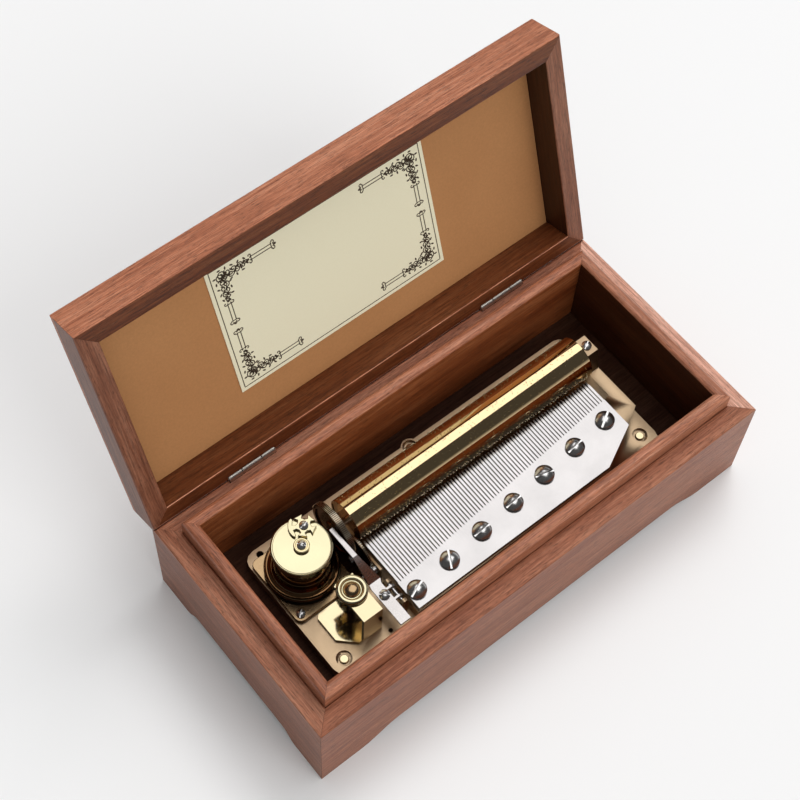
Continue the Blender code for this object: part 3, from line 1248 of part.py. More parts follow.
def build_winding():
    """The winding arbor with its collar, ratchet wheel, click and key."""
    centre = (BARREL_X, BARREL_Y)
    top = BARREL_CAP_TOP + COLLAR_HIGH
    arbor = slotted_screw(centre, top, CROSS_SCREW, SMALL_HEAD_HIGH, ARBOR_NECK,
                          BARREL_CAP_TOP - MM, WINDING_TURN)
    arbor = add_piece("winding_arbor", arbor, "screw_steel", "winding")
    unite(arbor, rod(WINDING_RADIUS, centre, WINDING_LOW, BARREL_CAP_TOP), "winding", "shaft")
    collar_low = BARREL_CAP_TOP + SEAT_GAP
    outline = []
    for i in range(ROUND):
        angle = math.tau * i / ROUND
        near = abs(math.remainder(angle - FINGER_ANGLE, math.tau)) < FINGER_HALF
        radius = COLLAR_RADIUS + (FINGER_PROUD if near else 0.0)
        outline.append((BARREL_X + radius * math.cos(angle), BARREL_Y + radius * math.sin(angle)))
    collar = add_piece("arbor_collar", prism(outline, collar_low, collar_low + COLLAR_HIGH - SEAT_GAP),
                       "gold", "winding")
    cut(collar, rod(ARBOR_NECK + RUN_GAP, centre, collar_low - MM, top + MM), "winding", "bore")

    ratchet_low = BED_UNDER + RATCHET_RISE
    teeth = []
    for i in range(RATCHET_TEETH):
        angle = math.tau * i / RATCHET_TEETH
        teeth.append((BARREL_X + RATCHET_RADIUS * math.cos(angle),
                      BARREL_Y + RATCHET_RADIUS * math.sin(angle)))
        inner = RATCHET_RADIUS - RATCHET_TOOTH
        teeth.append((BARREL_X + inner * math.cos(angle + RATCHET_LEAN),
                      BARREL_Y + inner * math.sin(angle + RATCHET_LEAN)))
    ratchet = add_piece("ratchet_wheel", prism(teeth, ratchet_low, ratchet_low + RATCHET_HIGH),
                        "screw_steel", "winding")
    cut(ratchet, rod(WINDING_RADIUS + RUN_GAP, centre, DRILL_LOW, DRILL_TOP), "winding", "bore")

    click = [(BARREL_X + x * MM, BARREL_Y + y * MM) for x, y in CLICK]
    pocket_top = BED_UNDER + RATCHET_POCKET_HIGH - SEAT_GAP
    add_piece("ratchet_click", prism(click, ratchet_low, pocket_top), "screw_steel", "case")

    hub = [(0, KEY_LOW), (KEY_HUB, KEY_LOW), (KEY_HUB, KEY_TOP), (WINDING_RADIUS + RUN_GAP, KEY_TOP),
           (WINDING_RADIUS + RUN_GAP, WINDING_LOW - SEAT_GAP), (0, WINDING_LOW - SEAT_GAP)]
    key = add_piece("winding_key", lathe(hub, centre, "Z", FINE), "gold", "winding")
    wing = rounded_rectangle(BARREL_X - KEY_WING_SPAN, BARREL_X + KEY_WING_SPAN, KEY_LOW,
                             KEY_LOW + KEY_WING_HIGH, KEY_WING_CORNER)
    wings = prism(wing, BARREL_Y - KEY_WING_THICK / 2, BARREL_Y + KEY_WING_THICK / 2, "Y")
    unite(key, wings, "winding", "wings")
    cut(key, rod(WINDING_RADIUS + RUN_GAP, centre, WINDING_LOW - SEAT_GAP, KEY_TOP + MM),
        "winding", "socket")


# Stop lever

def build_lever():
    """The start and stop lever, its pivot pin and its screw."""
    rows = (
        (LEVER_LEFT, LEVER_RIGHT, LEVER_FRONT, LEVER_UNDER),
        (LEVER_LEFT, LEVER_RIGHT, LEVER_SHOULDER, LEVER_UNDER),
        (LEVER_BEND_LEFT, LEVER_BEND_RIGHT, LEVER_BEND, LEVER_UNDER),
        (BLADE_LEFT, BLADE_RIGHT, BLADE_FRONT, BLADE_UNDER),
        (BLADE_LEFT, BLADE_TIP_RIGHT, BLADE_TIP, BLADE_UNDER),
    )
    shape = bmesh.new()
    rings = []
    for left, right, y, under in rows:
        rings.append([shape.verts.new(p) for p in
                      ((left, y, under), (right, y, under),
                       (right, y, under + LEVER_THICK), (left, y, under + LEVER_THICK))])
    shape.faces.new(rings[0])
    shape.faces.new(reversed(rings[-1]))
    for first, second in zip(rings, rings[1:]):
        for k in range(4):
            n = (k + 1) % 4
            shape.faces.new((first[k], first[n], second[n], second[k]))
    lever = add_piece("stop_lever", shape, "lever_steel", "lever")
    for index, start in enumerate((TAB_FRONT, TAB_BACK - TAB_THICK)):
        reach = LEVER_AXIS_X + TAB_REACH
        tab = [(LEVER_RIGHT - TAB_LAP, LEVER_UNDER), (reach, LEVER_AXIS_Z - MM),
               (reach, LEVER_AXIS_Z + MM), (LEVER_AXIS_X, LEVER_UNDER + LEVER_THICK),
               (LEVER_RIGHT - TAB_LAP, LEVER_UNDER + LEVER_THICK)]
        unite(lever, prism(tab, start, start + TAB_THICK, "Y"), "lever", "tab_%d" % index)
    bore = rod(PIVOT_RADIUS + RUN_GAP, (LEVER_AXIS_X, LEVER_AXIS_Z), PIVOT_FRONT, PIVOT_BACK, "Y")
    cut(lever, bore, "lever", "bore")
    cut(lever, rod(SMALL_SHANK + SCREW_GAP, LEVER_SCREW_POINT, LEVER_UNDER - MM,
                   LEVER_UNDER + 2 * MM, segments=SMALL), "lever", "screw_hole")
    add_piece("lever_pivot_pin", rod(PIVOT_RADIUS, (LEVER_AXIS_X, LEVER_AXIS_Z), PIVOT_FRONT,
                                     PIVOT_BACK, "Y"), "screw_steel", "case", smooth=True)
    screw = slotted_screw(LEVER_SCREW_POINT, LEVER_UNDER + LEVER_THICK + GLUE_GAP, LEVER_SCREW,
                          SMALL_HEAD_HIGH, SMALL_SHANK, LEVER_UNDER - SMALL_HEAD_HIGH,
                          LEVER_SCREW_TURN)
    add_piece("lever_screw", screw, "screw_steel", "lever")


def main():
    """Build every piece of the music box."""
    for old in list(bpy.data.objects):
        bpy.data.objects.remove(old)
    root = make_body("case", (0.0, -FRAME_SHIFT, 0.0))
    PIVOTS["case"] = (root, Vector((0.0, 0.0, 0.0)))
    make_body("lid", (0.0, HINGE_Y, HINGE_Z), -LID_OPEN, root)
    make_body("cylinder", (0.0, AXIS_Y, AXIS_Z), parent=root)
    make_body("train_c", (0.0, C_Y, C_Z), parent=root)
    make_body("train_b", (0.0, B_Y, B_Z), parent=root)
    make_body("fly", (FLY_X, FLY_AXIS_Y, B_Z), parent=root)
    make_body("barrel", (BARREL_X, BARREL_Y, BARREL_FLOOR), parent=root)
    make_body("winding", (BARREL_X, BARREL_Y, WINDING_LOW), parent=root)
    make_body("lever", (LEVER_AXIS_X, 0.0, LEVER_AXIS_Z), parent=root)
    build_case()
    build_lid()
    build_hinges()
    build_bedplate()
    build_comb()
    build_cylinder()
    build_train()
    build_fly()
    build_governor()
    build_bearings()
    build_barrel()
    build_barrel_plate()
    build_winding()
    build_lever()


main()
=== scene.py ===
"""Looks of the open wooden music box: finishes, fine metalwork, light and camera.

Lengths are in metres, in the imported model's frame. The fine pieces are drawn in
millimetres in the movement's drawing frame, whose origin lies under the middle of
the case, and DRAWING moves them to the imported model's frame.
"""

import json
import math
import random

import bmesh
import bpy
from mathutils import Matrix, Vector


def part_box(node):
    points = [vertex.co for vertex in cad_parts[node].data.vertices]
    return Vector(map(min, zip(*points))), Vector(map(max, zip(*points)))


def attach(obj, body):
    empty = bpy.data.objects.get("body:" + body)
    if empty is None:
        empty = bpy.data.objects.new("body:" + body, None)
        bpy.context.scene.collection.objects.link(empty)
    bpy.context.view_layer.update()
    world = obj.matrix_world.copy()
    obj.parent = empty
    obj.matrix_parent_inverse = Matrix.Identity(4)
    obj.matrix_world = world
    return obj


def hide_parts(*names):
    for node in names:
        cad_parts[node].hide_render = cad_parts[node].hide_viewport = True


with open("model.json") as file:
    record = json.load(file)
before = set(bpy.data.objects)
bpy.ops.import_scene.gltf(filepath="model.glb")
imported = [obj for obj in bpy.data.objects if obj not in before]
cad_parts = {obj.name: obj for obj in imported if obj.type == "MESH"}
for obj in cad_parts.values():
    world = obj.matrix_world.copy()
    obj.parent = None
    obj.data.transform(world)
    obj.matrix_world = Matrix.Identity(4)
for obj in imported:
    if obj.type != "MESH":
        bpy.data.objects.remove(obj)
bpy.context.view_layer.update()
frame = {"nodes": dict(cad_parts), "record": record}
NODES = frame["nodes"]
BODY_OF = {node: body for body, nodes in frame["record"]["behaviour"]["bodies"].items()
           for node in nodes}
SLOT_OF = {row["node"]: row["material_slot"] for row in frame["record"]["subparts"]}

MM = 0.001
WELD = 1e-6
SHARP = math.radians(40)

# The lid's hinge line, first drawn in millimetres, and how far the lid stands open
PIN_Y, PIN_Z = 53.59, 51.8
KNUCKLE_RADIUS = 1.45
HINGE_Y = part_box("hinge_left_case_leaf")[1].y - KNUCKLE_RADIUS * MM
HINGE_Z = PIN_Z * MM
LID_OPEN = math.radians(108.1)
SHIFT_Y = HINGE_Y - PIN_Y * MM


# Node materials

# The Mix node's sockets for colours
MIX_SHARE, MIX_A, MIX_B, MIX_COLOUR = 0, 6, 7, 2


class Shader:
    """A procedural material, written down node by node."""

    def __init__(self, name, colour, roughness, metallic=0.0, **sockets):
        self.material = bpy.data.materials.new(name)
        self.material.use_nodes = True
        self.tree = self.material.node_tree
        self.surface = self.tree.nodes["Principled BSDF"]
        self.material.diffuse_color = (*colour, 1.0)
        self.surface.inputs["Base Color"].default_value = (*colour, 1.0)
        self.surface.inputs["Roughness"].default_value = roughness
        self.surface.inputs["Metallic"].default_value = metallic
        for socket, value in sockets.items():
            self.surface.inputs[socket.replace("_", " ")].default_value = value

    def link(self, output, target):
        """Joins an output socket to an input socket."""
        self.tree.links.new(output, target)

    def node(self, kind, inputs=(), **settings):
        """A node with its settings; an input is a value or another node's output."""
        made = self.tree.nodes.new("ShaderNode" + kind)
        for key, value in settings.items():
            setattr(made, key, value)
        for key, value in dict(inputs).items():
            if isinstance(value, bpy.types.NodeSocket):
                self.link(value, made.inputs[key])
            else:
                made.inputs[key].default_value = value
        return made

    def place(self, scale, turn=(0, 0, 0), shift=(0, 0, 0)):
        """The piece's own coordinates, turned and then scaled."""
        own = self.node("TexCoord").outputs["Object"]
        turned = self.node("Mapping", {"Vector": own, "Rotation": turn}).outputs["Vector"]
        return self.node("Mapping", {"Vector": turned, "Location": shift,
                                     "Scale": scale}).outputs["Vector"]

    def noise(self, vector, detail, rough, distortion=0.0):
        """Fractal noise from 0 to 1; the vector is scaled already."""
        return self.node("TexNoise", {"Vector": vector, "Scale": 1.0, "Detail": detail,
                                      "Roughness": rough, "Distortion": distortion}).outputs["Fac"]

    def ramp(self, value, stops):
        """A colour or grey ramp; stops are (place, colour)."""
        made = self.node("ValToRGB", {"Fac": value})
        while len(made.color_ramp.elements) < len(stops):
            made.color_ramp.elements.new(0.5)
        for element, (place, colour) in zip(made.color_ramp.elements, stops):
            element.position = place
            element.color = (*colour, 1.0) if isinstance(colour, tuple) else (colour,) * 3 + (1.0,)
        return made.outputs["Color"]

    def mix(self, a, b, share, blend="MIX"):
        """Two colours mixed."""
        made = self.node("Mix", data_type="RGBA", blend_type=blend)
        for index, value in ((MIX_SHARE, share), (MIX_A, a), (MIX_B, b)):
            if isinstance(value, bpy.types.NodeSocket):
                self.link(value, made.inputs[index])
            elif index == MIX_SHARE:
                made.inputs[index].default_value = value
            else:
                made.inputs[index].default_value = (*value, 1.0)
        return made.outputs[MIX_COLOUR]

    def math(self, operation, a, b):
        """A sum on two numbers."""
        made = self.node("Math", operation=operation)
        for index, value in enumerate((a, b)):
            if isinstance(value, bpy.types.NodeSocket):
                self.link(value, made.inputs[index])
            else:
                made.inputs[index].default_value = value
        return made.outputs[0]

    def colour(self, output):
        """Sets the surface's colour."""
        self.link(output, self.surface.inputs["Base Color"])

    def roughness(self, value, low, high):
        """Spreads the roughness between two values."""
        spread = self.node("MapRange", {"Value": value, "To Min": low, "To Max": high})
        self.link(spread.outputs["Result"], self.surface.inputs["Roughness"])

    def bump(self, height, distance, strength):
        """Adds a bump on top of any that is there already."""
        target = self.surface.inputs["Normal"]
        made = self.node("Bump", {"Height": height, "Distance": distance, "Strength": strength})
        if target.is_linked:
            self.link(target.links[0].from_socket, made.inputs["Normal"])
        self.link(made.outputs["Normal"], target)


# The wood's noises: scale along and across the grain per metre, detail, roughness and
# distortion
BANDS = (5, 60, 4.0, 0.55, 0.4)
STREAKS = (32, 820, 4.0, 0.65, 0.1)
FIBRES = (110, 2500, 5.0, 0.7, 0.0)
PORES = (340, 3000, 2.0, 0.5, 0.0)
FIBRE_DEPTH = 0.00005
PORE_DEPTH = 0.00006


def wood(name, turn, colours, tone, shift=(0, 0, 0), gloss=0.45, coat=0.08, level=0.3):
    """Straight grained satin walnut; after the turn, X runs along the grain."""
    dark, middle, light = (tuple(channel * tone for channel in colour) for colour in colours)
    made = Shader(name, middle, gloss, Coat_Weight=coat, Coat_Roughness=0.34,
                  Specular_IOR_Level=level)

    def along(run, across, detail, rough, distortion):
        return made.noise(made.place((run, across, across), turn, shift), detail, rough,
                          distortion)

    bands, streaks, fibres, pores = (along(*kind) for kind in (BANDS, STREAKS, FIBRES, PORES))
    figure = made.math("ADD", made.math("MULTIPLY", bands, 0.45),
                       made.math("MULTIPLY", streaks, 0.55))
    toned = made.ramp(figure, ((0.36, dark), (0.50, middle), (0.64, light)))
    fine = made.ramp(fibres, ((0.34, 0.50), (0.50, 0.96), (0.66, 1.30)))
    holes = made.ramp(pores, ((0.35, 0.32), (0.43, 1.0)))
    made.colour(made.mix(made.mix(toned, fine, 0.9, "MULTIPLY"), holes, 0.6, "MULTIPLY"))
    made.roughness(fibres, gloss - 0.08, gloss + 0.12)
    made.bump(holes, PORE_DEPTH, 0.5)
    made.bump(fibres, FIBRE_DEPTH, 0.4)
    return made.material


def metal(name, colour, roughness, spots, brushed=(900, 900, 900), bump=0.0):
    """A metal with a slightly uneven polish; brushed is the scale of its strokes."""
    made = Shader(name, colour, roughness, 1.0)
    spread = made.noise(made.place(brushed), 4.0, 0.6)
    soft = made.noise(made.place((60, 60, 60)), 3.0, 0.5)
    shade = tuple(c * (1 - spots * 2.2) for c in colour)
    made.colour(made.mix(shade, colour, made.ramp(soft, ((0.35, 0.0), (0.65, 1.0)))))
    made.roughness(spread, max(roughness - spots, 0.02), roughness + spots)
    if bump:
        made.bump(spread, bump, 0.5)
    return made.material


# Turns of the wood's grain, for boards of the case and of the open lid
ALONG_X = (0.0, 0.0, 0.0)
ALONG_Y = (0.0, 0.0, math.radians(90))
LID_ALONG_X = (LID_OPEN, 0.0, 0.0)
LID_ALONG_Y = (LID_OPEN, 0.0, math.radians(90))

# Dark, middle and light colour of each wood. The second, paler set paints light and
# sheen on the right wall; the third, darker and redder set paints the shade on inward faces.
CASE_WOOD = ((0.250, 0.074, 0.034), (0.420, 0.150, 0.076), (0.570, 0.245, 0.140))
PAINTED_SHEEN_WOOD = ((0.330, 0.150, 0.098), (0.500, 0.262, 0.188), (0.640, 0.390, 0.300))
PAINTED_SHADE_WOOD = ((0.230, 0.050, 0.013), (0.420, 0.112, 0.032), (0.600, 0.205, 0.075))

MATERIALS = {
    "case_long": wood("case_wood_long", ALONG_X, CASE_WOOD, 0.82),
    "case_short": wood("case_wood_short", ALONG_Y, CASE_WOOD, 0.75, shift=(0.3, 0.1, 0.2)),
    # The right wall is a paler copy of the wood: painted light and sheen from the side the light
    # comes from
    "case_right": wood("case_wood_right_painted_sheen", ALONG_Y, PAINTED_SHEEN_WOOD, 1.3, shift=(0.6, 0.8, 0.4)),
    "lid_long": wood("lid_wood_long", LID_ALONG_X, CASE_WOOD, 1.12, shift=(0.7, 0.3, 0.5)),
    # Inward faces of the lid's rails: darker, redder copies of the wood, painted shade
    "lid_long_inner": wood("lid_wood_long_inner", LID_ALONG_X, PAINTED_SHADE_WOOD, 0.34,
                           shift=(0.1, 0.8, 0.5)),
    "lid_short": wood("lid_wood_short", LID_ALONG_Y, CASE_WOOD, 0.54, shift=(0.9, 0.4, 0.1)),
    "lid_short_inner": wood("lid_wood_short_inner", LID_ALONG_Y, PAINTED_SHADE_WOOD, 0.12,
                            shift=(0.5, 0.6, 0.9), coat=0.0),
    "lining_long": wood("lining_wood_long", ALONG_X, CASE_WOOD, 0.95, shift=(0.2, 0.5, 0.1),
                        coat=0.4),
    # Inward faces of the lining strips: darker, redder copies of the wood, painted shade
    "lining_long_inner": wood("lining_wood_long_inner", ALONG_X, PAINTED_SHADE_WOOD, 0.70,
                              shift=(0.4, 0.7, 0.6), coat=0.0),
    "lining_short": wood("lining_wood_short", ALONG_Y, CASE_WOOD, 0.85, shift=(0.6, 0.2, 0.8),
                         coat=0.4),
    "lining_short_inner": wood("lining_wood_short_inner", ALONG_Y, PAINTED_SHADE_WOOD, 0.16,
                               shift=(0.3, 0.9, 0.2), coat=0.0),
    # The case's floor, darkened nearly to black: painted shade inside the box
    "floor": wood("floor_wood", ALONG_X, CASE_WOOD, 0.12, gloss=0.6, coat=0.0, level=0.1),
    "hinge_brass": metal("hinge_brass", (0.78, 0.74, 0.67), 0.42, 0.05),
    "bed_casting": metal("bed_casting", (0.64, 0.46, 0.29), 0.34, 0.08, bump=0.00001),
    "cylinder_brass": metal("cylinder_brass", (0.90, 0.66, 0.37), 0.06, 0.02),
    "gold": metal("gold", (0.74, 0.62, 0.36), 0.14, 0.04),
    "comb_steel": metal("comb_steel", (0.60, 0.575, 0.57), 0.22, 0.04,
                        brushed=(300, 4000, 4000)),
    "screw_steel": metal("screw_steel", (0.82, 0.80, 0.79), 0.22, 0.04),
    "dark_steel": metal("dark_steel", (0.16, 0.15, 0.15), 0.3, 0.06),
    "lever_steel": metal("lever_steel", (0.68, 0.64, 0.62), 0.28, 0.05),
    # Brass darkened to brown: painted shade standing for the dark box it reflects
    "drum_brass": metal("drum_brass", (0.24, 0.125, 0.055), 0.08, 0.03),
    # Dark bronze; on the gears it is also the painted shade between the lighter painted tips
    "gear_bronze": metal("gear_bronze", (0.20, 0.12, 0.065), 0.20, 0.05),
    "plate_brass": metal("plate_brass", (0.46, 0.31, 0.17), 0.20, 0.05),
    # A light copy of the gears' metal for the tips of their teeth: painted highlight
    "tooth_gold": metal("tooth_gold", (0.98, 0.90, 0.72), 0.30, 0.05),
    "cap_gold": metal("cap_gold", (0.70, 0.62, 0.40), 0.13, 0.03),
    "frame_gold": metal("frame_gold", (0.72, 0.60, 0.38), 0.09, 0.03),
    "pin_brass": metal("pin_brass", (0.86, 0.74, 0.50), 0.25, 0.05),
    "ink": Shader("ink", (0.085, 0.060, 0.042), 0.8, Specular_IOR_Level=0.0).material,
}


def liner_paper():
    """Tan lining paper with a soft fibre and faint clouds."""
    made = Shader("liner_paper", (0.57, 0.26, 0.105), 0.72, Specular_IOR_Level=0.3)
    fibre = made.noise(made.place((900, 900, 900)), 5.0, 0.7)
    cloud = made.noise(made.place((22, 22, 22)), 3.0, 0.5)
    base = made.mix((0.48, 0.218, 0.082), (0.57, 0.275, 0.110), cloud)
    made.colour(made.mix(base, made.ramp(fibre, ((0.3, 0.86), (0.7, 1.08))), 0.6, "MULTIPLY"))
    made.bump(fibre, 0.00003, 0.35)
    return made.material


def card_stock():
    """Cream card with a fine fibre."""
    made = Shader("card", (0.96, 0.89, 0.65), 0.6, Specular_IOR_Level=0.35)
    fibre = made.noise(made.place((1400, 1400, 1400)), 4.0, 0.6)
    made.colour(made.mix((0.94, 0.87, 0.62), (0.99, 0.93, 0.69), fibre))
    made.bump(fibre, 0.00002, 0.3)
    return made.material


MATERIALS["liner_paper"] = liner_paper()
MATERIALS["card"] = card_stock()


def dress(obj, material):
    """Gives a piece one material."""
    obj.data.materials.clear()
    obj.data.materials.append(MATERIALS[material])


# Pieces

def shade(obj, angle):
    """Smooth shading with sharp edges, and normals that keep flat faces flat."""
    obj.data.shade_smooth()
    obj.data.set_sharp_from_angle(angle=angle)
    weighted = obj.modifiers.new("normals", "WEIGHTED_NORMAL")
    weighted.keep_sharp = True


def make_piece(name, shape, material, body, stands_for=(), angle=SHARP, ease=0.0):
    """A new piece that rides on a body and stands for CAD nodes."""
    bmesh.ops.recalc_face_normals(shape, faces=shape.faces)
    mesh = bpy.data.meshes.new(name)
    shape.to_mesh(mesh)
    shape.free()
    obj = bpy.data.objects.new(name, mesh)
    bpy.context.scene.collection.objects.link(obj)
    dress(obj, material)
    if ease:
        bevel = obj.modifiers.new("eased_edges", "BEVEL")
        bevel.width = ease
        bevel.segments = 2
        bevel.limit_method = "ANGLE"
        bevel.angle_limit = math.radians(35)
    shade(obj, angle)
    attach(obj, body)
    if stands_for:
        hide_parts(*stands_for)
    return obj


def welded(node):
    """A CAD node's solid with its points merged and its flat faces whole."""
    shape = bmesh.new()
    shape.from_mesh(NODES[node].data)
    bmesh.ops.remove_doubles(shape, verts=shape.verts, dist=WELD)
    bmesh.ops.dissolve_limit(shape, angle_limit=math.radians(0.4), verts=shape.verts,
                             edges=shape.edges)
    return shape


# How far a board is pushed out to close a joint, and the shortest edge that is rounded
MITRE_CLOSE = 0.045 * MM
EDGE_LENGTH = 30 * MM


def board(node, material, radius, run=None, inward=None, inner=None, seam=None):
    """A copy of a board with its long edges rounded, standing for its CAD node.

    Its ends are pushed out along run to close the joint. Faces that look one of the
    inward ways get the inner material, a darker copy of the wood that paints their
    shade. The seam is (normal, place, push) of a plane on which it meets the next
    board: its edges there stay sharp and close the joint too.
    """
    shape = welded(node)
    if run:
        lengths = [vert.co.dot(run) for vert in shape.verts]
        middle = (min(lengths) + max(lengths)) / 2
        for vert, length in zip(shape.verts, lengths):
            vert.co += run * math.copysign(MITRE_CLOSE, length - middle)
    joined = set()
    if seam:
        normal, place, push = seam
        for vert in shape.verts:
            if abs(vert.co.dot(normal) - place) < 10 * WELD:
                vert.co += normal * push
                joined.add(vert)
    chosen = [e for e in shape.edges if len(e.link_faces) == 2 and e.calc_length() > EDGE_LENGTH
              and e.calc_face_angle(0.0) > math.radians(30) and e.is_convex
              and not joined.issuperset(e.verts)
              and (not run or abs((e.verts[1].co - e.verts[0].co).normalized().dot(run)) > 0.999)]
    bmesh.ops.bevel(shape, geom=chosen, offset=radius, offset_type="OFFSET", segments=3,
                    profile=0.5, affect="EDGES", clamp_overlap=True)
    obj = make_piece(node + "_finish", shape, material, BODY_OF[node], (node,))
    # Faces that look inward take the darker copy of the wood: painted shade
    if inner:
        obj.data.materials.append(MATERIALS[inner])
        for face in obj.data.polygons:
            face.material_index = int(any(face.normal.dot(way) > 0.95 for way in inward))


# The joint between the lid's rails and its panel, drawn with the lid closed
RAIL_TOP, PANEL_LOW = 66.2 * MM, 66.3 * MM


def make_woodwork():
    """Case, lining and lid boards with rounded edges, and the flat lined surfaces."""
    swing = Matrix.Rotation(-LID_OPEN, 3, "X")
    hinge = Vector((0, HINGE_Y, HINGE_Z))
    up = swing @ Vector((0, 0, 1))

    def lid_plane(height):
        return up.dot(hinge + up * (height - HINGE_Z))

    rail_seam = (up, lid_plane(RAIL_TOP), MITRE_CLOSE)
    panel_seam = (up, lid_plane(PANEL_LOW), -MITRE_CLOSE)
    for side, grain, run, inward in (
            ("front", "long", Vector((1, 0, 0)), Vector((0, 1, 0))),
            ("back", "long", Vector((1, 0, 0)), Vector((0, -1, 0))),
            ("left", "short", Vector((0, 1, 0)), Vector((1, 0, 0))),
            ("right", "short", Vector((0, 1, 0)), Vector((-1, 0, 0)))):
        # The right wall takes the paler copy: painted light and sheen
        wall = "case_right" if side == "right" else "case_" + grain
        board("case_wall_" + side, wall, 1.0 * MM, run)
        board("lining_strip_" + side, "lining_" + grain, 0.25 * MM, run, [inward],
              "lining_%s_inner" % grain)
        # The rails' inward faces, and the long rails' rims too, take painted shade
        inner = [swing @ inward] if grain == "short" else [swing @ inward, -up]
        board("lid_rail_" + side, "lid_" + grain, 0.7 * MM, swing @ run, inner,
              "lid_%s_inner" % grain, rail_seam)
    board("lid_top_panel", "lid_long", 0.9 * MM, seam=panel_seam)
    # The case's floor gets the near-black copy of the wood: painted shade
    dress(NODES["bottom_panel"], "floor")
    dress(NODES["lid_lining"], "liner_paper")
    dress(NODES["tune_card"], "card")


make_woodwork()


# Fine pieces, drawn in millimetres in the drawing frame

DRAWING = Matrix.Translation((0, SHIFT_Y, 0)) @ Matrix.Scale(MM, 4)
HINGE = Vector((0, HINGE_Y, HINGE_Z))
LID_SWUNG = (Matrix.Translation(HINGE) @ Matrix.Rotation(-LID_OPEN, 4, "X")
             @ Matrix.Translation(-HINGE) @ DRAWING)


def across(axis, u, v, w):
    """A point with w along the axis and u, v across it."""
    return {"X": (w, u, v), "Y": (u, w, v), "Z": (u, v, w)}[axis]


def circle(radius, u, v, steps):
    """Points round a circle."""
    return [(u + radius * math.cos(math.tau * i / steps),
             v + radius * math.sin(math.tau * i / steps)) for i in range(steps)]


def skin(shape, rings, closed=False, caps=False):
    """Joins rings of points with faces; a ring of one point closes an end."""
    rows = [[shape.verts.new(point) for point in ring] for ring in rings]
    for a, b in list(zip(rows, rows[1:])) + ([(rows[-1], rows[0])] if closed else []):
        count = max(len(a), len(b))
        for i in range(count):
            j = (i + 1) % count
            corners = (a[i % len(a)], a[j % len(a)], b[j % len(b)], b[i % len(b)])
            shape.faces.new(list(dict.fromkeys(corners)))
    if caps:
        shape.faces.new(rows[0])
        shape.faces.new(rows[-1])
    return shape


def turned(shape, profile, u, v, axis="Z", steps=48, closed=False):
    """A turned form; the profile gives (radius, distance along the axis)."""
    rings = [[across(axis, p, q, along)
              for p, q in (circle(radius, u, v, steps) if radius > 0 else [(u, v)])]
             for radius, along in profile]
    return skin(shape, rings, closed)


def drawn_out(shape, outline, low, high, axis="Z"):
    """A plate: an outline drawn out along an axis."""
    return skin(shape, [[across(axis, u, v, level) for u, v in outline] for level in (low, high)],
                caps=True)


def fine(node, shape, material, ease=0.0, extra=None, place=DRAWING, angle=SHARP, second=None):
    """A piece drawn in millimetres that stands for a CAD node, or is an extra on its body."""
    shape.transform(place)
    marks = [face.material_index for face in shape.faces]
    obj = make_piece(extra or node + "_finish", shape, material, BODY_OF[node],
                     () if extra else (node,), angle, ease * MM)
    if second:
        obj.data.materials.append(MATERIALS[second])
        obj.data.polygons.foreach_set("material_index", marks)
    return obj


def copied(node, material, ease=0.0):
    """A smooth copy of a CAD node with its edges eased."""
    return make_piece(node + "_finish", welded(node), material, BODY_OF[node], (node,),
                      ease=ease * MM)


def box_of(node):
    """A CAD node's box in the drawing frame, in millimetres."""
    low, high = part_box(node)
    shift = Vector((0, SHIFT_Y, 0))
    return (low - shift) / MM, (high - shift) / MM


# Slotted screws

# Shares of the head's height and radius
HEAD_SIDE = 0.40
SLOT_HALF = 0.11
SLOT_FLOOR = 0.36


def slotted(radius, high, shank, length, slot_degrees, tip=0.25):
    """A slotted screw with a domed head, its seat at the origin."""
    side = HEAD_SIDE * high
    dome = high - side
    ball = (radius ** 2 + dome ** 2) / (2 * dome)
    edge = math.asin(radius / ball)
    profile = [(0, -length), (shank - tip, -length), (shank, tip - length), (shank, 0),
               (radius * 0.96, 0), (radius, 0.05 * high), (radius, side)]
    for i in range(1, 9):
        lean = edge * (1 - i / 8)
        profile.append((ball * math.sin(lean) if i < 8 else 0.0,
                        high - ball + ball * math.cos(lean)))
    shape = turned(bmesh.new(), profile, 0, 0)
    half = SLOT_HALF * radius
    floor = SLOT_FLOOR * high

    def slice_at(place, normal):
        bmesh.ops.bisect_plane(shape, geom=shape.verts[:] + shape.edges[:] + shape.faces[:],
                               dist=1e-6, plane_co=place, plane_no=normal)

    slice_at((0, half, 0), (0, 1, 0))
    slice_at((0, -half, 0), (0, 1, 0))
    slice_at((0, 0, floor), (0, 0, 1))
    gone = []
    for face in shape.faces:
        middle = face.calc_center_median()
        if abs(middle.y) < half and middle.z > floor:
            gone.append(face)
    bmesh.ops.delete(shape, geom=gone, context="FACES")
    rim = [vert for vert in shape.verts if any(edge.is_boundary for edge in vert.link_edges)]
    for place in (half, -half):
        shape.faces.new(sorted((v for v in rim if abs(v.co.y - place) < 1e-5),
                               key=lambda v: v.co.x))
    shape.faces.new(sorted((v for v in rim if abs(v.co.z - floor) < 1e-5),
                           key=lambda v: math.atan2(v.co.y, v.co.x)))
    shape.transform(Matrix.Rotation(math.radians(slot_degrees), 4, "Z"))
    return shape


# Head height, shank radius and turn of the slot in degrees
SCREWS = {
    "bearing_block_screw": (1.1, 0.9, 29),
    "stop_cross_screw": (1.1, 0.9, 12),
    "barrel_plate_screw": (1.1, 0.9, 40),
    "lever_screw": (1.1, 0.9, 138),
}
COMB_SLOTS = (20, 61, 2, 3, 164, 6, 30)
SCREWS.update({"comb_screw_%d" % (i + 1): (2.4, 1.5, slot) for i, slot in enumerate(COMB_SLOTS)})
MOVEMENT_HEAD, MOVEMENT_SHANK = 2.0, 1.9


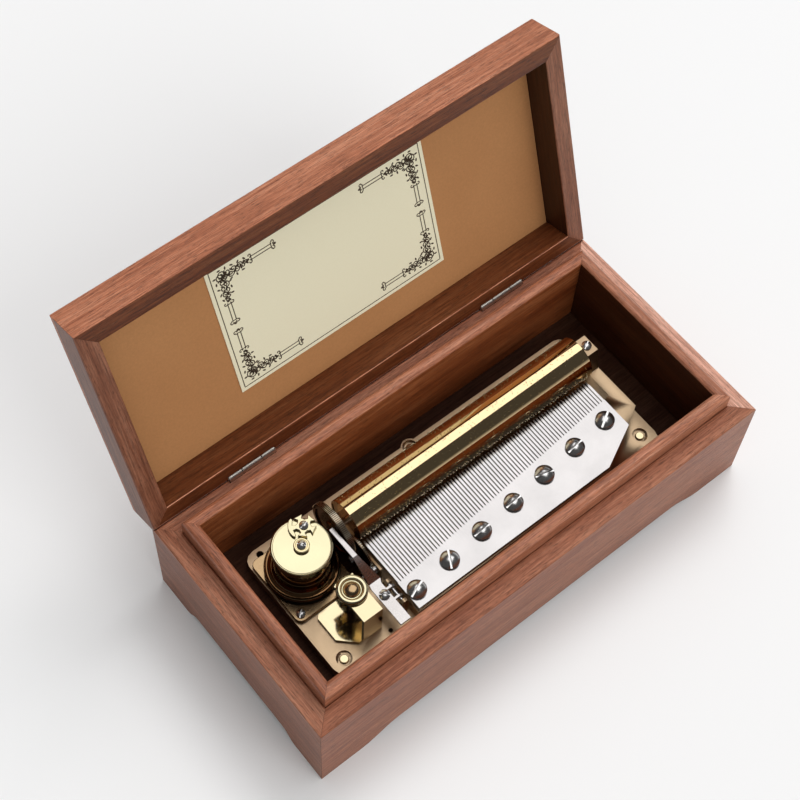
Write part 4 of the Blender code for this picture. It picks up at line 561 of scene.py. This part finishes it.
def make_screws():
    """Every slotted screw, on the place and with the size of its CAD solid."""
    for node, (high, shank, slot) in SCREWS.items():
        low, top = box_of(node)
        seat = top.z - high
        shape = slotted((top.x - low.x) / 2, high, shank, seat - low.z, slot)
        shape.transform(Matrix.Translation(((low.x + top.x) / 2, (low.y + top.y) / 2, seat)))
        fine(node, shape, "screw_steel", 0.07)
    for i in range(3):
        node = "movement_screw_%d" % (i + 1)
        low, top = box_of(node)
        seat = low.z + MOVEMENT_HEAD
        shape = slotted((top.x - low.x) / 2, MOVEMENT_HEAD, MOVEMENT_SHANK, top.z - seat,
                        30.0 * i, tip=0.3)
        shape.transform(Matrix.Translation(((low.x + top.x) / 2, (low.y + top.y) / 2, seat))
                        @ Matrix.Rotation(math.pi, 4, "X"))
        fine(node, shape, "frame_gold", 0.07)


# Cylinder and gears

CYLINDER_Y = 13.9
CYLINDER_Z = 41.2
TEETH = 78
TOOTH_PITCH = 1.58
COMB_START = -48.3


def make_cylinder():
    """The polished cylinder and its pins."""
    profile = [(1.65, -49.0), (8.8, -49.0), (8.9, -49.3), (9.65, -49.3), (9.8, -49.15),
               (9.8, 77.15), (9.65, 77.3), (8.9, 77.3), (8.8, 77.0), (1.65, 77.0)]
    shape = turned(bmesh.new(), profile, CYLINDER_Y, CYLINDER_Z, "X", 128, closed=True)
    fine("pinned_cylinder", shape, "cylinder_brass")

    pins = bmesh.new()
    chance = random.Random(78)
    for tooth in range(TEETH):
        for _ in range(chance.randint(14, 30)):
            middle = COMB_START + TOOTH_PITCH * (tooth + 0.5)
            along = middle + chance.choice((-0.42, -0.14, 0.14, 0.42))
            turn = math.tau * chance.random()
            out = Vector((0, math.cos(turn), math.sin(turn)))
            side = Vector((0, -out.z, out.y))
            centre = Vector((along, CYLINDER_Y, CYLINDER_Z))
            rings = []
            for reach, half in ((9.7, 0.11), (10.2, 0.09)):
                rings.append([centre + out * reach + Vector((half * a, 0, 0)) + side * (half * b)
                              for a, b in ((-1, -1), (1, -1), (1, 1), (-1, 1))])
            skin(pins, rings, caps=True)
    fine("pinned_cylinder", pins, "pin_brass", extra="cylinder_pins")


def gear(shape, count, module, u, v, phase, low, high, bore, web):
    """A spur gear across X with slim straight sided teeth, and a recessed web.

    The web is its outer and inner radius and how deep it lies. The tips of the teeth
    are marked for a second, lighter material: a painted highlight on the tips, against
    the dark body, which paints the shade between the teeth.
    """
    step = math.tau / count
    tip = count * module / 2 + 0.8 * module
    root = count * module / 2 - 1.25 * module
    spots = [(phase + (i + share) * step, radius) for i in range(count)
             for share, radius in ((-0.25, root), (-0.13, tip), (0.13, tip), (0.25, root))]

    def ring(radius, along):
        return [(along, u + (radius or reach) * math.cos(turn),
                 v + (radius or reach) * math.sin(turn)) for turn, reach in spots]

    outer, inner, deep = web
    skin(shape, [ring(None, low), ring(None, high), ring(outer, high),
                 ring(outer - 0.3, high - deep), ring(inner + 0.3, high - deep),
                 ring(inner, high), ring(bore, high), ring(bore, low), ring(inner, low),
                 ring(inner + 0.3, low + deep), ring(outer - 0.3, low + deep),
                 ring(outer, low)], closed=True)
    # The tips take the lighter copy, a painted highlight; the rest keeps the dark bronze, painted
    # shade
    for face in shape.faces:
        middle = face.calc_center_median()
        reach = math.hypot(middle.y - u, middle.z - v)
        face.material_index = int(reach > tip - 0.1)
    return shape


def make_gears():
    """The great gear and the wheel behind it."""
    sharp = math.radians(25)
    shape = gear(bmesh.new(), 100, 0.25, CYLINDER_Y, CYLINDER_Z, math.radians(213.3),
                 -56.6, -53.9, 1.66, (10.9, 4.0, 0.6))
    fine("great_gear", shape, "gear_bronze", angle=sharp, second="tooth_gold")
    shape = gear(bmesh.new(), 58, 0.3, 2.199, 33.514, math.radians(174.4), -51.9, -50.9, 0.76,
                 (7.2, 2.2, 0.25))
    fine("train_wheel_c", shape, "gear_bronze", angle=sharp, second="tooth_gold")
    copied("cylinder_arbor", "screw_steel")


# Barrel and what stands on it

BARREL = (-72.7, 12.4)
CROSS = (-66.767, 18.763)
CROSS_TURN = 227.0
CROWN_TEETH = 48
CROWN_RADIUS = 12.025

# Lean in degrees from an arm's middle and reach, for four arms and for the round one
CROSS_ARM = ((-15, 3.4), (-23, 5.2), (-12, 4.85), (0, 4.7), (12, 4.85), (23, 5.2), (15, 3.4))
CROSS_ROUND_ARM = ((-16, 3.3), (-15, 4.6), (-42, 5.2), (-44, 6.2), (-32, 6.45), (-16, 6.5),
                   (0, 6.5), (16, 6.5), (32, 6.45), (44, 6.2), (42, 5.2), (15, 4.6), (16, 3.3))
CROSS_VALLEY = (36, 2.7)


def make_barrel():
    """The drum with its flange, the cap, the stop cross, the collar and the arbor."""
    drum = [(2.06, 30.4), (15.4, 30.4), (15.8, 30.8), (15.8, 31.6), (15.4, 32.0), (14.9, 31.75),
            (14.2, 31.75), (13.4, 32.05), (12.6, 32.45), (11.9, 33.1), (11.5, 33.9), (11.3, 34.9),
            (11.3, 46.4), (11.5, 46.6), (11.5, 46.95), (11.3, 47.125), (10.5, 47.125),
            (10.5, 32.0), (2.06, 32.0)]
    # The drum's brass is darkened to brown: painted shade for the dark inside of the box reflected
    # in it
    fine("spring_barrel", turned(bmesh.new(), drum, *BARREL, steps=96, closed=True), "drum_brass")
    beads = bmesh.new()
    for radius, level, thick in ((15.35, 31.98, 0.16), (12.75, 32.5, 0.12), (11.34, 36.4, 0.10)):
        section = [(radius + thick * math.cos(a), level + thick * math.sin(a))
                   for a in (math.tau * k / 8 for k in range(8))]
        turned(beads, section, *BARREL, steps=96, closed=True)
    fine("spring_barrel", beads, "gold", extra="barrel_beads")

    cap = [(2.06, 47.325), (12.3, 47.325), (12.6, 47.6), (12.6, 49.75), (12.45, 50.0),
           (12.2, 50.12), (11.9, 50.0), (11.7, 50.0), (11.5, 50.2), (2.06, 50.2)]
    shape = turned(bmesh.new(), cap, *BARREL, steps=96, closed=True)
    step = math.tau / CROWN_TEETH
    contact = math.asin((CYLINDER_Y - BARREL[1]) / CROWN_RADIUS)
    section = ((-0.25, 47.5), (0.25, 47.5), (0.09, 46.35), (-0.09, 46.35))
    for i in range(CROWN_TEETH):
        turn = contact + (i + 0.5) * step
        rings = []
        for radius in (11.5, 12.55):
            rings.append([(BARREL[0] + radius * math.cos(turn + share * step),
                           BARREL[1] + radius * math.sin(turn + share * step), z)
                          for share, z in section])
        skin(shape, rings, caps=True)
    fine("barrel_cap", shape, "cap_gold")

    low, high = box_of("stop_cross")
    outline = []
    for arm in range(5):
        parts = CROSS_ROUND_ARM if arm == 4 else CROSS_ARM
        for lean, reach in parts + (CROSS_VALLEY,):
            turn = math.radians(CROSS_TURN + 72.0 * arm + lean)
            outline.append((CROSS[0] + reach * math.cos(turn), CROSS[1] + reach * math.sin(turn)))
    fine("stop_cross", drawn_out(bmesh.new(), outline, low.z, high.z), "cap_gold", 0.22)

    collar = [(1.06, 50.4), (3.3, 50.4), (3.3, 51.5), (3.0, 51.8), (2.5, 51.8), (2.35, 51.6),
              (1.06, 51.6)]
    fine("arbor_collar", turned(bmesh.new(), collar, *BARREL, steps=64, closed=True), "gold")
    head = slotted(1.9, 1.1, 1.0, 2.6, 126)
    head.transform(Matrix.Translation((*BARREL, 51.8)))
    turned(head, [(0, 9.0), (1.7, 9.0), (2.0, 9.3), (2.0, 50.2), (0, 50.2)], *BARREL)
    fine("winding_arbor", head, "screw_steel", 0.06)


# Governor, lever, bearings, comb and hinges

FLY = (-67.6, -13.503)
CAP_RECESS = 3.4
LEVER_PIVOT = (-51.5, 36.0)


def make_governor():
    """The governor's polished frame, its ringed cap with a darker middle, and the fly."""
    copied("governor_frame", "frame_gold", 0.22)
    cap = [(0, 46.2), (6.2, 46.2), (6.5, 46.5), (6.5, 47.4), (6.25, 47.85), (5.7, 48.1),
           (4.9, 48.1), (4.55, 47.95), (4.35, 47.5), (4.15, 47.3), (3.5, 47.3), (3.3, 47.45),
           (3.0, 47.95), (2.5, 48.35), (1.8, 48.6), (0.9, 48.7), (0, 48.7)]
    shape = turned(bmesh.new(), cap, *FLY, steps=72)
    for face in shape.faces:
        off = face.calc_center_median().xy - Vector(FLY)
        face.material_index = int(off.length < CAP_RECESS)
    fine("governor_cap", shape, "cap_gold", angle=math.radians(60), second="plate_brass")
    copied("governor_fly", "dark_steel")


def make_lever():
    """The stop lever and its pivot."""
    copied("stop_lever", "lever_steel", 0.12)
    pin = [(0, -27.6), (0.65, -27.6), (0.8, -27.45), (0.8, -15.55), (0.65, -15.4), (0, -15.4)]
    fine("lever_pivot_pin", turned(bmesh.new(), pin, *LEVER_PIVOT, "Y", 24), "screw_steel")


def make_bearings():
    """The bedplate, the bearing block and bracket, and the barrel's plate."""
    copied("bedplate", "bed_casting")
    copied("right_bearing_block", "bed_casting", 0.25)
    copied("left_bearing_bracket", "gear_bronze", 0.12)
    copied("barrel_plate", "plate_brass", 0.25)
    copied("winding_key", "gold", 0.25)


# The comb is cut across here, and past the second place a tooth's tip is this slim
COMB_CUT_Y = 1.3
TIP_FROM_Y = 3.8
TIP_WIDTH = 0.45


def make_comb():
    """The comb with the last of each tooth drawn in to a slim tip."""
    shape = welded("comb")
    shape.transform(DRAWING.inverted())
    bmesh.ops.bisect_plane(shape, geom=shape.verts[:] + shape.edges[:] + shape.faces[:], dist=1e-5,
                           plane_co=(0, COMB_CUT_Y, 0), plane_no=(0, 1, 0))
    for vert in shape.verts:
        if vert.co.y > TIP_FROM_Y:
            tooth = math.floor((vert.co.x - COMB_START) / TOOTH_PITCH)
            middle = COMB_START + TOOTH_PITCH * (tooth + 0.5)
            vert.co.x = middle + (vert.co.x - middle) * TIP_WIDTH
    fine("comb", shape, "comb_steel")


HINGE_X = 66.8
LEAF_THICK = 0.8


def make_hinges():
    """Round knuckles with their leaves let into the wood."""
    for label, sign in (("left", -1.0), ("right", 1.0)):
        middle = sign * HINGE_X
        for part, spans, side, place in (
                ("case", ((-11.5, -4.95), (4.95, 11.5)), -1.0, DRAWING),
                ("lid", ((-4.8, 4.8),), 1.0, LID_SWUNG)):
            shape = bmesh.new()
            for low, high in spans:
                knuckle = [(0, low), (1.25, low), (KNUCKLE_RADIUS, low + 0.2),
                           (KNUCKLE_RADIUS, high - 0.2), (1.25, high), (0, high)]
                turned(shape, [(radius, middle + along) for radius, along in knuckle],
                       PIN_Y, PIN_Z, "X", 32)
            run = Vector((-1.0, side)).normalized()
            over = Vector((-run.y, run.x))
            base = Vector((PIN_Y, PIN_Z))
            leaf = [tuple(base + run * reach + over * (LEAF_THICK * share))
                    for reach, share in ((1.0, -0.5), (6.5, -0.5), (6.5, 0.5), (1.0, 0.5))]
            for low, high in spans:
                drawn_out(shape, leaf, middle + low, middle + high, "X")
            fine("hinge_%s_%s_leaf" % (label, part), shape, "hinge_brass", place=place)


# The card's printed border, as thin raised ink

# Drawn with the lid closed: the card's left, right, front and back edge, and the ink's
# underside and face, which stands just proud of the card
CARD = (-55.4, 50.2, -36.2, 29.8)
INK_LOW, INK_HIGH = 65.25 - 0.03, 65.25 + 0.02
FRAME_INSET = 1.8


def stroke(shape, points, width):
    """A raised line along points, as a thin closed strip."""
    rings = []
    for i, point in enumerate(points):
        ahead = (points[min(i + 1, len(points) - 1)] - points[max(i - 1, 0)]).normalized()
        side = Vector((-ahead.y, ahead.x)) * (width / 2)
        rings.append([(*(point + side), INK_LOW), (*(point - side), INK_LOW),
                      (*(point - side), INK_HIGH), (*(point + side), INK_HIGH)])
    skin(shape, rings, caps=True)


def blot(shape, centre, long, wide, lean):
    """A small filled oval."""
    turn = Matrix.Rotation(lean, 2)
    points = [centre + turn @ Vector((long * math.cos(a), wide * math.sin(a)))
              for a in (math.tau * k / 10 for k in range(10))]
    drawn_out(shape, [tuple(point) for point in points], INK_LOW, INK_HIGH)


def scroll(centre, radius, start, turns, steps=16):
    """Points of a spiral that winds in to its centre."""
    return [centre + radius * (1 - 0.85 * i / steps)
            * Vector((math.cos(start + math.tau * turns * i / steps),
                      math.sin(start + math.tau * turns * i / steps))) for i in range(steps + 1)]


def make_card_border():
    """A frame line with scrolled corners and slim turned bars between them."""
    shape = bmesh.new()
    left, right, front, back = CARD
    inset = FRAME_INSET
    corners = [Vector((left + inset, front + inset)), Vector((right - inset, front + inset)),
               Vector((right - inset, back - inset)), Vector((left + inset, back - inset))]
    for i in range(4):
        stroke(shape, [corners[i], corners[(i + 1) % 4]], 0.40)
    for corner, sx, sy in ((Vector((left, front)), 1, 1), (Vector((right, front)), -1, 1),
                           (Vector((right, back)), -1, -1), (Vector((left, back)), 1, -1)):
        for swap in (False, True):
            def place(a, b):
                a, b = (b, a) if swap else (a, b)
                return corner + Vector((sx * a, sy * b))

            def draw(points, width):
                stroke(shape, [place(p.x, p.y) for p in points], width)

            for i in range(9):
                turn = 1 if i % 2 else -1
                a, curl = 6.6 + 1.45 * i, 1.9 - 0.09 * i
                b = 6.9 + 0.95 * turn * (1 - 0.05 * i)
                draw(scroll(Vector((a, b)), curl, 2.1 * i, 1.35 * turn), 0.52)
                blot(shape, place(a + 0.5, 13.6 - b), 0.95, 0.45, 1.3 * i)
                blot(shape, place(a - 0.4, b + 2.5 * turn * (1 - 0.04 * i)), 0.8, 0.40, 0.9 * i)
            start, end = (19.6, 31.2) if swap else (19.6, 32.0)
            for b in (5.7, 7.3):
                draw([Vector((start + 1.0, b)), Vector((end - 1.4, b))], 0.42)
            for foot, inner in ((start + 0.5, 1), (end - 1.0, -1)):
                draw(scroll(Vector((foot, 4.9)), 1.05, 1.6, -0.9, 8), 0.48)
                draw(scroll(Vector((foot, 8.1)), 1.05, -1.6, 0.9, 8), 0.48)
                blot(shape, place(foot - 0.9 * inner, 6.5), 0.8, 0.6, 0.0)
                draw([Vector((foot + 0.7 * inner, 4.9)), Vector((foot + 0.7 * inner, 8.1))], 0.42)
    fine("tune_card", shape, "ink", extra="card_border", place=LID_SWUNG)


make_screws()
make_cylinder()
make_gears()
make_barrel()
make_governor()
make_lever()
make_bearings()
make_comb()
make_hinges()
make_card_border()

# CAD nodes that stay shown take the material that is named after their slot
for name, node in NODES.items():
    if not node.hide_render and SLOT_OF[name] in MATERIALS:
        dress(node, SLOT_OF[name])


# Stage, light and camera

FLOOR_WHITE = 0.88
FLOOR_BOUNCE = 0.45
SKY_WHITE = 0.93
AMBIENT = 0.47
AMBIENT_TILT = 0.40
BRIGHT_SIDE = Vector((0.56, -0.62, 0.55)).normalized()
CEILING = 0.06
CEILING_FROM = 0.10
CEILING_TO = 0.45


def make_stage():
    """A pale floor under a white sweep whose ceiling is dimmer in reflections."""
    bpy.ops.mesh.primitive_plane_add(size=12.0, location=(0, 0, -0.0002))
    floor = bpy.context.object
    floor.name = "stage_floor"
    pale = Shader("stage_floor", (FLOOR_WHITE,) * 3, 0.8, Specular_IOR_Level=0.1)
    rays = pale.node("LightPath").outputs
    seen = pale.math("MAXIMUM", rays["Is Camera Ray"],
                     pale.math("MAXIMUM", rays["Is Glossy Ray"], rays["Is Transmission Ray"]))
    pale.colour(pale.mix((FLOOR_BOUNCE,) * 3, (FLOOR_WHITE,) * 3, seen))
    floor.data.materials.append(pale.material)

    world = bpy.data.worlds.new("studio")
    bpy.context.scene.world = world
    world.use_nodes = True
    tree = world.node_tree
    background = tree.nodes["Background"]
    background.inputs["Color"].default_value = (SKY_WHITE,) * 3 + (1.0,)

    def node(kind, settings, *links):
        made = tree.nodes.new("ShaderNode" + kind)
        for key, value in settings.items():
            if hasattr(made, key):
                setattr(made, key, value)
            else:
                made.inputs[key].default_value = value
        for target, output in links:
            tree.links.new(output, made.inputs[target])
        return made

    path = node("LightPath", {})
    direction = node("TexCoord", {}).outputs["Generated"]
    height = node("SeparateXYZ", {}, (0, direction))
    side = node("VectorMath", {"operation": "DOT_PRODUCT"}, (0, direction))
    side.inputs[1].default_value = BRIGHT_SIDE
    ambient = node("Math", {"operation": "MULTIPLY_ADD"}, (0, side.outputs["Value"]))
    ambient.inputs[1].default_value = AMBIENT_TILT
    ambient.inputs[2].default_value = AMBIENT
    sweep = node("MapRange", {"From Min": CEILING_FROM, "From Max": CEILING_TO, "To Min": 1.0,
                              "To Max": CEILING}, ("Value", height.outputs["Z"]))
    shiny = node("Math", {"operation": "MAXIMUM"}, (0, path.outputs["Is Glossy Ray"]),
                 (1, path.outputs["Is Transmission Ray"]))
    seen = node("Mix", {"data_type": "FLOAT"}, (0, shiny.outputs[0]), (2, ambient.outputs[0]),
                (3, sweep.outputs["Result"]))
    strength = node("Mix", {"data_type": "FLOAT", "B": 1.0},
                    (0, path.outputs["Is Camera Ray"]), (2, seen.outputs[0]))
    tree.links.new(strength.outputs[0], background.inputs["Strength"])


def add_softbox(name, place, target, size, power, mirrored=True):
    """A rectangular area lamp that looks at a point; metal shows it only if mirrored."""
    lamp = bpy.data.lights.new(name, "AREA")
    lamp.shape = "RECTANGLE"
    lamp.size, lamp.size_y = size
    lamp.energy = power
    obj = bpy.data.objects.new(name, lamp)
    bpy.context.scene.collection.objects.link(obj)
    obj.location = place
    obj.rotation_euler = (Vector(target) - Vector(place)).to_track_quat("-Z", "Y").to_euler()
    obj.visible_glossy = mirrored


# Lens in millimetres, place in metres and turn in degrees, fitted to the photograph
LENS = 78.0066
SENSOR_WIDTH = 36.0
CAMERA_PLACE = (-0.23812011, -0.24626833, 0.68130011)
CAMERA_TURN = (29.2583926, -1.8943756, -38.8917904)


def make_camera():
    """The camera at the photograph's viewing angle."""
    data = bpy.data.cameras.new("camera")
    data.lens = LENS
    data.sensor_width = SENSOR_WIDTH
    camera = bpy.data.objects.new("camera", data)
    bpy.context.scene.collection.objects.link(camera)
    camera.location = CAMERA_PLACE
    camera.rotation_euler = [math.radians(angle) for angle in CAMERA_TURN]
    bpy.context.scene.camera = camera


make_stage()
add_softbox("key", (1.87, 1.17, 5.59), (0, 0, 0.03), (3.4, 4.2), 70.0)
add_softbox("side", (2.3, 1.2, 4.4), (0, 0, 0.03), (1.9, 1.9), 64.0, mirrored=False)
add_softbox("front", (0.6, -3.6, 3.6), (0, 0, 0.05), (2.4, 2.4), 50.0, mirrored=False)
make_camera()
bpy.context.scene.view_settings.view_transform = "Standard"
